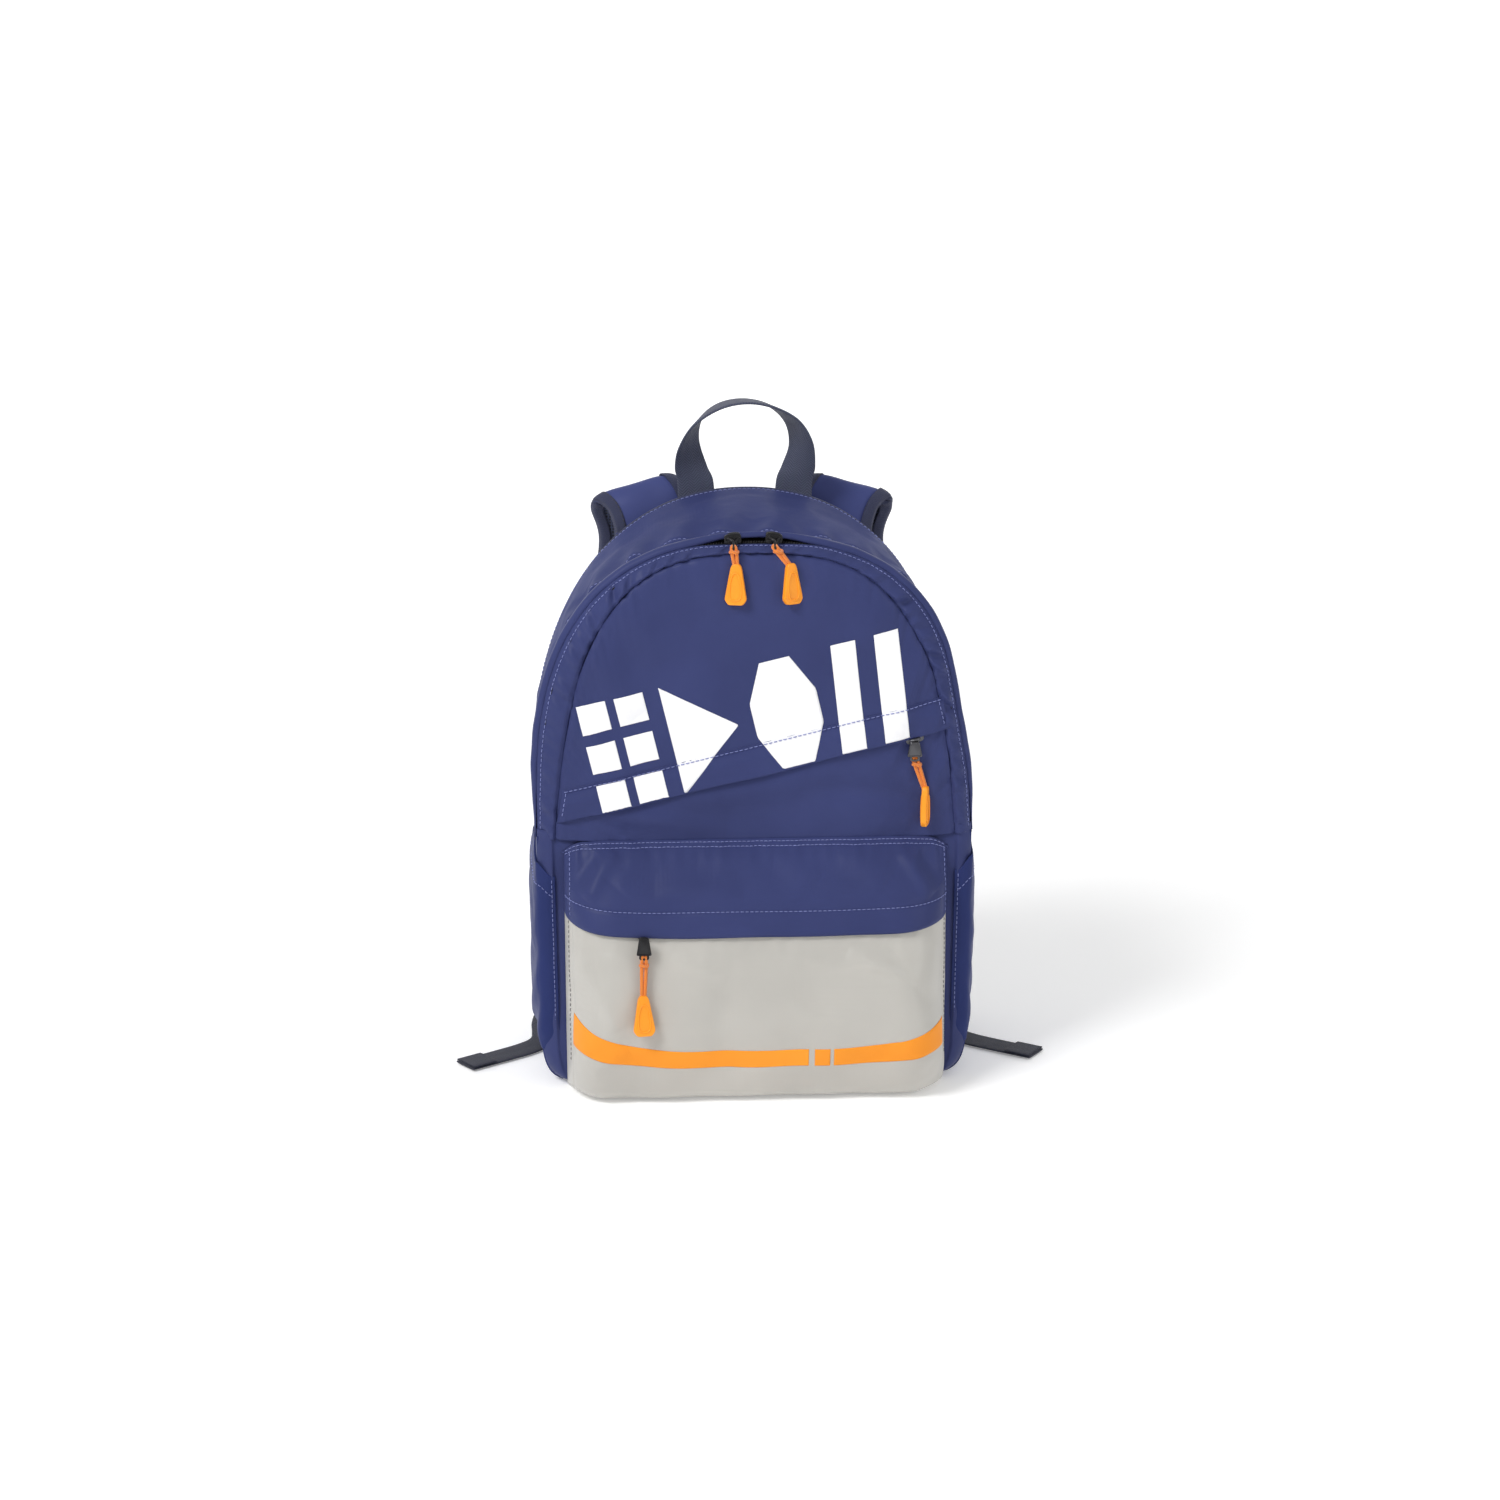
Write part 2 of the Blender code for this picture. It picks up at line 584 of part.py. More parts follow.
def build():
    back()
    gusset()
    side_panels()
    base()
    lower_front()
    side_pockets()
    piping()
    main_zip()
    main_sliders()
    front_panel()
    welt()
    welt_pull()
    front_pocket()
    pocket_pull()
    grab_handle()
    yoke()
    straps()
    ladder_locks()
    lower_webbing()


clear_scene()
PARTS = new_collection("school_backpack")
CUTTERS = new_collection("cutters")
build()
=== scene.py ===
"""School backpack: the finished look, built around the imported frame.

Shapes are worked out in millimetres in the frame's own axes (+Z up, the bag's front faces -Y) and
turned into metres when a mesh is made.
"""

import math

import bmesh
import bpy
import numpy as np
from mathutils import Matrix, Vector
from mathutils.bvhtree import BVHTree


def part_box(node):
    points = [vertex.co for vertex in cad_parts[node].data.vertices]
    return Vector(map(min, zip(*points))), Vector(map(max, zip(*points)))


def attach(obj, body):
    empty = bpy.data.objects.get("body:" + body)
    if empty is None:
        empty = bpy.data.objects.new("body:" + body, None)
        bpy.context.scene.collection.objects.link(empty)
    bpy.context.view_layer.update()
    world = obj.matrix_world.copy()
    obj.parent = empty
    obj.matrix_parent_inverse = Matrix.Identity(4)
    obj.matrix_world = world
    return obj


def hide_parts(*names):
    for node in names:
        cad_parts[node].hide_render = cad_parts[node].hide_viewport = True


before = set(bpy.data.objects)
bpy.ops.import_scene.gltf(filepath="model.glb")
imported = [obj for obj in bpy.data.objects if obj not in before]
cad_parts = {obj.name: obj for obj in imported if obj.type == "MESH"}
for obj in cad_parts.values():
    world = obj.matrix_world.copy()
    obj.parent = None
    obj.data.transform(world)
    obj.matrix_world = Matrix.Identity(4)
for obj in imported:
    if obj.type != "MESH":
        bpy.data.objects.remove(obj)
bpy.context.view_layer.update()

MM = 0.001
SIDES = {"left": -1, "right": 1}


def box_mm(node):
    """Lowest and highest corners of a node, in millimetres."""
    low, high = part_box(node)
    return np.array(low) / MM, np.array(high) / MM


# Sizes read from the frame, in millimetres.
HALF_WIDTH, BACK_TOP = box_mm("top_gusset")[1][[0, 2]]
FOLD_Z = box_mm("front_panel")[0][2]
PANEL_Y = box_mm("front_panel")[0][1]
ZIP_TOP = box_mm("arch_piping")[1][2] - 1.7
BACK_Y = box_mm("back_mesh")[0][1] - 7.0
BACK_FACE = box_mm("back_mesh")[1][1]
POCKET_HALF = box_mm("front_pocket_shell")[1][0]
POCKET_BACK = box_mm("front_pocket_shell")[1][1] - 0.5
ARCH_CENTRE = 200.0
ZIP_POWER, BACK_POWER = 2.5, 2.18
ZIP_RISE = ZIP_TOP - ARCH_CENTRE
BACK_RISE = BACK_TOP - ARCH_CENTRE


# Camera, light and stage.

def look_at(obj, target):
    direction = Vector(target) - obj.location
    obj.rotation_euler = direction.to_track_quat("-Z", "Y").to_euler()


def make_camera():
    azimuth, elevation, distance = math.radians(-3.5), math.radians(14.0), 2.0
    target = Vector((0.0, 0.0, 0.2215))
    data = bpy.data.cameras.new("Camera")
    data.lens = 68.5
    data.sensor_width = 36.0
    camera = bpy.data.objects.new("Camera", data)
    bpy.context.scene.collection.objects.link(camera)
    back = Vector((math.sin(azimuth) * math.cos(elevation), -math.cos(azimuth) * math.cos(elevation),
                   math.sin(elevation)))
    camera.location = target + back * distance
    look_at(camera, target)
    bpy.context.scene.camera = camera


def area_light(name, place, target, size, power):
    data = bpy.data.lights.new(name, "AREA")
    data.shape = "RECTANGLE"
    data.size, data.size_y = size
    data.energy = power
    light = bpy.data.objects.new(name, data)
    bpy.context.scene.collection.objects.link(light)
    light.location = place
    look_at(light, target)


def make_stage():
    middle = (0.0, 0.0, 0.22)
    area_light("Key", (-1.5, -1.3, 2.2), middle, (0.9, 0.9), 48.0)
    area_light("Fill", (1.9, -1.4, 1.1), middle, (1.0, 1.6), 11.0)
    area_light("Top", (0.1, 0.3, 2.3), middle, (1.6, 1.0), 1.5)
    area_light("Back", (0.6, 2.0, 1.5), middle, (1.6, 1.2), 2.5)
    world = bpy.data.worlds.new("World")
    bpy.context.scene.world = world
    world.use_nodes = True
    background = world.node_tree.nodes["Background"]
    background.inputs["Color"].default_value = (1.0, 1.0, 1.0, 1.0)
    background.inputs["Strength"].default_value = 0.42
    mesh = bpy.data.meshes.new("floor")
    reach, bend, height = 9.0, 2.5, 7.0
    turn = np.linspace(0, math.pi / 2, 24)
    profile = [(-reach, 0.0), *zip(reach / 2 + bend * np.sin(turn), bend * (1 - np.cos(turn))),
               (reach / 2 + bend, height)]
    points = [(x, y, z) for y, z in profile for x in (-reach, reach)]
    faces = [(2 * i, 2 * i + 1, 2 * i + 3, 2 * i + 2) for i in range(len(profile) - 1)]
    mesh.from_pydata(points, [], faces)
    mesh.shade_smooth()
    floor = bpy.data.objects.new("floor", mesh)
    bpy.context.scene.collection.objects.link(floor)
    shade = bpy.data.materials.new("floor_white")
    shade.use_nodes = True
    shader = shade.node_tree.nodes["Principled BSDF"]
    shader.inputs["Base Color"].default_value = (0.97, 0.97, 0.97, 1.0)
    shader.inputs["Roughness"].default_value = 0.8
    tree = shade.node_tree
    place = tree.nodes.new("ShaderNodeTexCoord")
    split = tree.nodes.new("ShaderNodeSeparateXYZ")
    fade = tree.nodes.new("ShaderNodeMapRange")
    for socket, value in (("From Min", 0.3), ("From Max", 4.0), ("To Min", 0.2), ("To Max", 0.64)):
        fade.inputs[socket].default_value = value
    shader.inputs["Emission Color"].default_value = (1.0, 1.0, 1.0, 1.0)
    tree.links.new(place.outputs["Object"], split.inputs["Vector"])
    tree.links.new(split.outputs["Y"], fade.inputs["Value"])
    tree.links.new(fade.outputs["Result"], shader.inputs["Emission Strength"])
    mesh.materials.append(shade)
    bpy.context.scene.view_settings.view_transform = "Standard"


# Materials.

class Shade:
    """A Principled material and short ways to add nodes to it."""

    def __init__(self, name, roughness=0.5, metallic=0.0, flat=True, **sockets):
        self.material = bpy.data.materials.new(name)
        self.material.use_nodes = True
        self.tree = self.material.node_tree
        self.shader = self.tree.nodes["Principled BSDF"]
        self.shader.inputs["Roughness"].default_value = roughness
        self.shader.inputs["Metallic"].default_value = metallic
        for socket, value in sockets.items():
            self.shader.inputs[socket.replace("_", " ")].default_value = value
        self.coords = self.tree.nodes.new("ShaderNodeTexCoord").outputs["UV" if flat else "Object"]
        self.height = None

    def add(self, kind, **settings):
        node = self.tree.nodes.new("ShaderNode" + kind)
        for key, value in settings.items():
            if key in node.inputs:
                node.inputs[key].default_value = value
            else:
                setattr(node, key, value)
        return node

    def link(self, a, b):
        self.tree.links.new(a, b)

    def noise(self, scale, detail=3.0):
        """Noise over the material's coordinates; scale is in cells per metre."""
        node = self.add("TexNoise", Scale=scale, Detail=detail)
        self.link(self.coords, node.inputs["Vector"])
        return node.outputs["Fac"]

    def waves(self, scale, direction="X", distortion=0.0):
        node = self.add("TexWave", wave_type="BANDS", bands_direction=direction, Scale=scale,
                        Distortion=distortion)
        self.link(self.coords, node.inputs["Vector"])
        return node.outputs["Fac"]

    def herringbone(self, pitch, half):
        """Ribs every pitch metres along the band, turning over at every half metres of its width."""
        split = self.add("SeparateXYZ")
        self.link(self.coords, split.inputs["Vector"])
        slant = self.math("PINGPONG", split.outputs["X"], half)
        run = self.math("MULTIPLY", self.math("ADD", split.outputs["Y"], slant), 2 * math.pi / pitch)
        return self.math("MULTIPLY", self.math("ADD", self.math("SINE", run, 0.0), 1.0), 0.5)

    def math(self, operation, a, b):
        node = self.add("Math", operation=operation)
        for socket, value in zip(node.inputs, (a, b)):
            if isinstance(value, (int, float)):
                socket.default_value = value
            else:
                self.link(value, socket)
        return node.outputs["Value"]

    def ramp(self, value, low, high, colours):
        """Colours along value between low and high."""
        node = self.add("ValToRGB")
        ends = node.color_ramp.elements
        ends[0].position, ends[1].position = low, high
        ends[0].color, ends[1].color = ((*c, 1.0) for c in colours)
        self.link(value, node.inputs["Fac"])
        return node.outputs["Color"]

    def colour(self, value, low, high, colours):
        self.link(self.ramp(value, low, high, colours), self.shader.inputs["Base Color"])

    def roughness(self, value, low, high):
        node = self.add("MapRange")
        node.inputs["To Min"].default_value = low
        node.inputs["To Max"].default_value = high
        self.link(value, node.inputs["Value"])
        self.link(node.outputs["Result"], self.shader.inputs["Roughness"])

    def bump(self, value, distance, strength=1.0):
        """Adds a bump of that distance, in metres, on top of any earlier one."""
        node = self.add("Bump", Strength=strength, Distance=distance)
        self.link(value, node.inputs["Height"])
        if self.height is not None:
            self.link(self.height, node.inputs["Normal"])
        self.height = node.outputs["Normal"]
        self.link(self.height, self.shader.inputs["Normal"])


def shifted(colour, factor):
    return tuple(min(1.0, c * factor) for c in colour)


def coated_cloth(name, colour, roughness=0.4, gloss=0.08):
    """Smooth coated cloth: fine plain weave, soft mottling, slow drifts of tone and gloss."""
    shade = Shade(name, roughness, Sheen_Weight=0.05, Sheen_Roughness=0.4, Sheen_Tint=(0.45, 0.5, 1.0, 1.0),
                  Specular_IOR_Level=gloss)
    drift = shade.noise(9.0, 4.0)
    shade.colour(drift, 0.3, 0.7, (shifted(colour, 0.9), shifted(colour, 1.12)))
    shade.roughness(shade.noise(160.0, 2.0), roughness - 0.05, roughness + 0.08)
    weave = shade.math("MULTIPLY", shade.waves(420.0, "X"), shade.waves(420.0, "Y"))
    shade.bump(weave, 0.00003, 0.4)
    shade.bump(shade.noise(60.0, 3.0), 0.0006, 0.5)
    return shade.material


def grey_cloth(name, colour):
    """Light grey cloth with a fine beaded surface."""
    shade = Shade(name, 0.42, Sheen_Weight=0.1, Coat_Weight=0.1, Coat_Roughness=0.3)
    beads = shade.noise(2600.0, 1.0)
    drift = shade.noise(14.0, 3.0)
    mixed = shade.math("ADD", shade.math("MULTIPLY", beads, 0.5), shade.math("MULTIPLY", drift, 0.5))
    shade.colour(mixed, 0.38, 0.62, (shifted(colour, 0.93), shifted(colour, 1.06)))
    shade.roughness(beads, 0.34, 0.52)
    shade.bump(beads, 0.00003, 0.5)
    shade.bump(shade.noise(45.0, 3.0), 0.0004, 0.3)
    return shade.material


def webbing(name, colour, pitch=0.0009, half=0.0055):
    """Woven webbing: a fine herringbone along the band, and its yarns."""
    shade = Shade(name, 0.72, Sheen_Weight=0.08, Sheen_Roughness=0.5)
    across = shade.herringbone(pitch, half)
    along = shade.noise(2200.0, 2.0)
    mixed = shade.math("ADD", shade.math("MULTIPLY", across, 0.6), shade.math("MULTIPLY", along, 0.4))
    shade.colour(mixed, 0.25, 0.8, (shifted(colour, 0.7), shifted(colour, 1.35)))
    shade.bump(across, 0.0003, 0.7)
    shade.bump(along, 0.0001, 0.5)
    return shade.material


def mesh_cloth(name, colour):
    """Open air mesh: small dark cells between raised threads."""
    shade = Shade(name, 0.85, flat=False, Sheen_Weight=0.25)
    cells = shade.add("TexVoronoi", feature="DISTANCE_TO_EDGE", Scale=420.0, Randomness=0.25)
    facing_back = shade.add("Mapping", Scale=(1.0, 0.0, 1.0))
    shade.link(shade.coords, facing_back.inputs["Vector"])
    shade.link(facing_back.outputs["Vector"], cells.inputs["Vector"])
    edge = cells.outputs["Distance"]
    shade.colour(edge, 0.05, 0.3, (shifted(colour, 2.2), shifted(colour, 0.35)))
    flip = shade.math("SUBTRACT", 1.0, edge)
    shade.bump(flip, 0.0008, 0.8)
    return shade.material


def plain(name, colour, roughness, metallic=0.0, grain=500.0, depth=0.00003, drift=0.12):
    """Moulded or cast surface: slight tone drift and fine grain."""
    shade = Shade(name, roughness, metallic, flat=False)
    tones = shifted(colour, 1 - drift), shifted(colour, 1 + drift)
    shade.colour(shade.noise(grain / 8, 3.0), 0.35, 0.7, tones)
    grains = shade.noise(grain, 3.0)
    shade.roughness(grains, roughness - 0.06, roughness + 0.1)
    shade.bump(grains, depth, 0.5)
    return shade.material


def braided(name, colour):
    """Thin braided cord: small crossing lays."""
    shade = Shade(name, 0.6, flat=False, Sheen_Weight=0.3)
    lay = shade.waves(1300.0, "DIAGONAL", 1.5)
    shade.colour(lay, 0.2, 0.8, (shifted(colour, 0.85), shifted(colour, 1.1)))
    shade.bump(lay, 0.0002, 0.8)
    return shade.material


NAVY = (0.041, 0.051, 0.148)
NAVY_DARK = (0.023, 0.034, 0.128)
MATERIALS = {
    "navy_fabric": coated_cloth("coated_navy", NAVY),
    "navy_top": coated_cloth("coated_navy_top", NAVY, 0.5, 0.02),
    "navy_side": coated_cloth("coated_navy_side", NAVY_DARK, 0.44),
    # The straps' navy is the base navy lightened 1.4 times: painted light for their lit, upward-facing tops.
    "strap_fabric": coated_cloth("coated_navy_strap_painted_light", shifted(NAVY, 1.4), 0.45),
    "grey_reflective": grey_cloth("grey_panel", (0.49, 0.475, 0.44)),
    "orange_print": coated_cloth("orange_print", (1.0, 0.33, 0.035), 0.42),
    "white_print": plain("white_print", (0.92, 0.92, 0.94), 0.45, 0.0, 900.0, 0.00002, 0.02),
    "handle_webbing": webbing("ribbed_handle_webbing", (0.048, 0.056, 0.098), 0.0020, 0.0042),
    "dark_webbing": webbing("flat_tail_webbing", (0.018, 0.021, 0.042)),
    "air_mesh": mesh_cloth("spacer_mesh", (0.020, 0.026, 0.056)),
    "zip_tape": webbing("woven_zip_tape", (0.006, 0.006, 0.009), 0.0006, 0.002),
    "zip_coil": plain("nylon_coil", (0.008, 0.008, 0.010), 0.35),
    "black_metal": plain("black_zinc", (0.015, 0.015, 0.017), 0.3, 0.4, 700.0),
    "grey_metal": plain("gunmetal_zinc", (0.11, 0.11, 0.12), 0.35, 0.75, 700.0),
    "black_plastic": plain("black_acetal", (0.012, 0.012, 0.014), 0.42),
    "orange_cord": braided("orange_braid", (1.0, 0.25, 0.02)),
    "orange_rubber": plain("orange_rubber", (1.0, 0.33, 0.008), 0.46, 0.0, 350.0, 0.00005, 0.05),
    "board": plain("stiffener_board", (0.035, 0.04, 0.09), 0.55),
    "thread": plain("seam_thread", (0.20, 0.23, 0.50), 0.6, 0.0, 1500.0),
    "grey_thread": plain("grey_thread", (0.2, 0.2, 0.2), 0.6, 0.0, 1500.0),
    "binding": webbing("edge_binding", (0.026, 0.032, 0.085), 0.0006, 0.001),
    "dark_thread": plain("dark_thread", (0.035, 0.035, 0.05), 0.6, 0.0, 1500.0),
}


# Mesh helpers. Points are in millimetres.

def add_mesh(name, points, faces, slot):
    """A smooth-shaded mesh object with the material of its slot."""
    mesh = bpy.data.meshes.new(name)
    mesh.from_pydata((np.asarray(points, float) * MM).tolist(), [], faces)
    mesh.materials.append(MATERIALS[slot])
    mesh.shade_smooth()
    obj = bpy.data.objects.new(name, mesh)
    bpy.context.scene.collection.objects.link(obj)
    return obj


def add_uvs(obj, flat):
    """Gives each corner its vertex's place on the flat cloth, in metres."""
    layer = obj.data.uv_layers.new(name="flat")
    index = np.zeros(len(obj.data.loops), int)
    obj.data.loops.foreach_get("vertex_index", index)
    layer.data.foreach_set("uv", (flat.reshape(-1, 2)[index] * MM).ravel())


def grid_piece(name, points, slot, flip=False, ring=False):
    """A quad surface through points, rows by columns; ring joins the last column to the first."""
    rows, columns = points.shape[:2]
    faces = []
    for i in range(rows - 1):
        for j in range(columns if ring else columns - 1):
            k = (j + 1) % columns
            face = (i * columns + j, (i + 1) * columns + j, (i + 1) * columns + k, i * columns + k)
            faces.append(face[::-1] if flip else face)
    obj = add_mesh(name, points.reshape(-1, 3), faces, slot)
    along = path_lengths(points[rows // 2])
    across = path_lengths(points[:, columns // 2])
    add_uvs(obj, np.stack(np.meshgrid(along, across), axis=2))
    return obj


def thicken(obj, thickness):
    """Gives a surface its thickness, behind its face."""
    modifier = obj.modifiers.new("Thickness", "SOLIDIFY")
    modifier.thickness = thickness * MM
    modifier.offset = -1.0
    return obj


def joined(name, pieces, slot):
    """One object from several meshes, each given as its points and faces."""
    points, faces, start = [], [], 0
    for part, polygons in pieces:
        points.append(np.asarray(part))
        faces.extend(tuple(i + start for i in polygon) for polygon in polygons)
        start += len(part)
    return add_mesh(name, np.concatenate(points), faces, slot)


def path_lengths(path):
    """Length along a path up to each of its points."""
    return np.concatenate([[0.0], np.cumsum(np.linalg.norm(np.diff(path, axis=0), axis=1))])


def stacked(*coordinates):
    """Points from their coordinates, each spread to the shape of the others."""
    return np.stack(np.broadcast_arrays(*coordinates), axis=-1)


def full_grid(columns, rows):
    """u and v from 0 to 1 on a grid."""
    return np.meshgrid(np.linspace(0, 1, columns), np.linspace(0, 1, rows))


def resampled(path, count):
    """The path through count points at even spacing."""
    path = np.asarray(path, float)
    lengths = path_lengths(path)
    at = np.linspace(0.0, lengths[-1], count)
    return np.stack([np.interp(at, lengths, path[:, k]) for k in range(path.shape[1])], axis=1)


def smooth_path(points, steps=12):
    """Catmull-Rom curve through points of any dimension."""
    points = np.asarray(points, float)
    ends = np.concatenate([points[:1], points, points[-1:]])
    path = []
    for a, b, c, d in zip(ends, ends[1:], ends[2:], ends[3:]):
        for t in np.arange(steps) / steps:
            path.append(((-t**3 + 2 * t**2 - t) * a + (3 * t**3 - 5 * t**2 + 2) * b
                         + (-3 * t**3 + 4 * t**2 + t) * c + (t**3 - t**2) * d) / 2)
    path.append(points[-1])
    return np.array(path)


def tube(path, radius, sides=8, closed=False):
    """Points and faces of a round bar along a path; radius may vary along it."""
    path = np.asarray(path, float)
    count = len(path)
    radii = np.broadcast_to(radius, (count,))
    ahead, behind = np.roll(path, -1, axis=0), np.roll(path, 1, axis=0)
    tangents = ahead - behind
    if not closed:
        tangents[0], tangents[-1] = path[1] - path[0], path[-1] - path[-2]
    tangents /= np.linalg.norm(tangents, axis=1, keepdims=True)
    side = np.cross(tangents[0], (0.35, 0.2, 1.0))
    turns = np.arange(sides) * 2 * math.pi / sides
    points = []
    for centre, tangent, r in zip(path, tangents, radii):
        side = side - tangent * np.dot(side, tangent)
        side /= np.linalg.norm(side)
        up = np.cross(tangent, side)
        points.append(centre + r * (np.outer(np.cos(turns), side) + np.outer(np.sin(turns), up)))
    faces = []
    for i in range(count if closed else count - 1):
        n = (i + 1) % count
        for k in range(sides):
            m = (k + 1) % sides
            faces.append((i * sides + k, i * sides + m, n * sides + m, n * sides + k))
    if not closed:
        faces.append(tuple(reversed(range(sides))))
        faces.append(tuple((count - 1) * sides + k for k in range(sides)))
    return np.concatenate(points), faces


def helix(path, radius, pitch):
    """A path that winds round another one, with eight points to a turn."""
    path = np.asarray(path, float)
    lengths = path_lengths(path)
    at = np.arange(0.0, lengths[-1], pitch / 8)
    centre = np.stack([np.interp(at, lengths, path[:, k]) for k in range(3)], axis=1)
    tangents = np.gradient(centre, axis=0)
    tangents /= np.linalg.norm(tangents, axis=1, keepdims=True)
    across = np.cross(tangents, (0.0, 1.0, 0.0))
    across /= np.linalg.norm(across, axis=1, keepdims=True)
    up = np.cross(across, tangents)
    angle = (at / pitch * 2 * math.pi)[:, None]
    return centre + radius * (np.cos(angle) * across + np.sin(angle) * up)


def plate(outline, low, high, bevel, steps=2):
    """A flat plate with rounded edges: outline in its own plane, low to high across it."""
    outline = np.asarray(outline, float)
    tangents = np.roll(outline, -1, axis=0) - np.roll(outline, 1, axis=0)
    inward = np.stack([-tangents[:, 1], tangents[:, 0]], axis=1)
    inward /= np.linalg.norm(inward, axis=1, keepdims=True)
    turns = np.linspace(0, math.pi / 2, steps + 1)
    rings = [(low + bevel * (1 - math.cos(t)), bevel * (1 - math.sin(t))) for t in turns]
    rings += [(high - bevel * (1 - math.cos(t)), bevel * (1 - math.sin(t))) for t in turns[::-1]]
    count = len(outline)
    points = [np.column_stack([outline + inward * inset, np.full(count, level)]) for level, inset in rings]
    faces = []
    for i in range(len(rings) - 1):
        for k in range(count):
            m = (k + 1) % count
            faces.append((i * count + k, i * count + m, (i + 1) * count + m, (i + 1) * count + k))
    faces.append(tuple(reversed(range(count))))
    faces.append(tuple((len(rings) - 1) * count + k for k in range(count)))
    return np.concatenate(points), faces


def placed(part, origin, across, up):
    """A part made flat in x and y, set at origin with its x along across and its y along up."""
    points, faces = part
    across, up = np.asarray(across, float), np.asarray(up, float)
    out = np.cross(across, up)
    return np.asarray(origin) + points[:, :1] * across + points[:, 1:2] * up + points[:, 2:3] * out, faces


def ripples(along, seed, length, height):
    """Uneven ripples along a seam: sines whose lengths and phases come from a seeded draw."""
    rng = np.random.default_rng(seed)
    total = np.zeros_like(along)
    for _ in range(4):
        stretch, phase, share = rng.uniform(0.65, 1.5), rng.uniform(0, 6.28), rng.uniform(0.6, 1.2)
        total += share * height / 2.6 * np.sin(along * 2 * math.pi / (length * stretch) + phase)
    return total


def crease(x, z, start, end, width, height):
    """A soft fold along a line in the front view, fading at both ends; negative height is a valley."""
    (x0, z0), (x1, z1) = start, end
    dx, dz = x1 - x0, z1 - z0
    span = math.hypot(dx, dz)
    along = ((x - x0) * dx + (z - z0) * dz) / span**2
    across = ((x - x0) * dz - (z - z0) * dx) / span
    fade = np.clip(1 - (2 * along - 1) ** 4, 0, 1) * ((along > 0) & (along < 1))
    return height * fade * np.exp(-(across / width) ** 2)


def rise(value, low, high):
    """Smooth step from 0 at low to 1 at high."""
    t = np.clip((value - low) / (high - low), 0, 1)
    return t * t * (3 - 2 * t)


SETTLE_FRAMES = 14
ANY = (-1, 2)  # A free stretch that leaves no edge held.


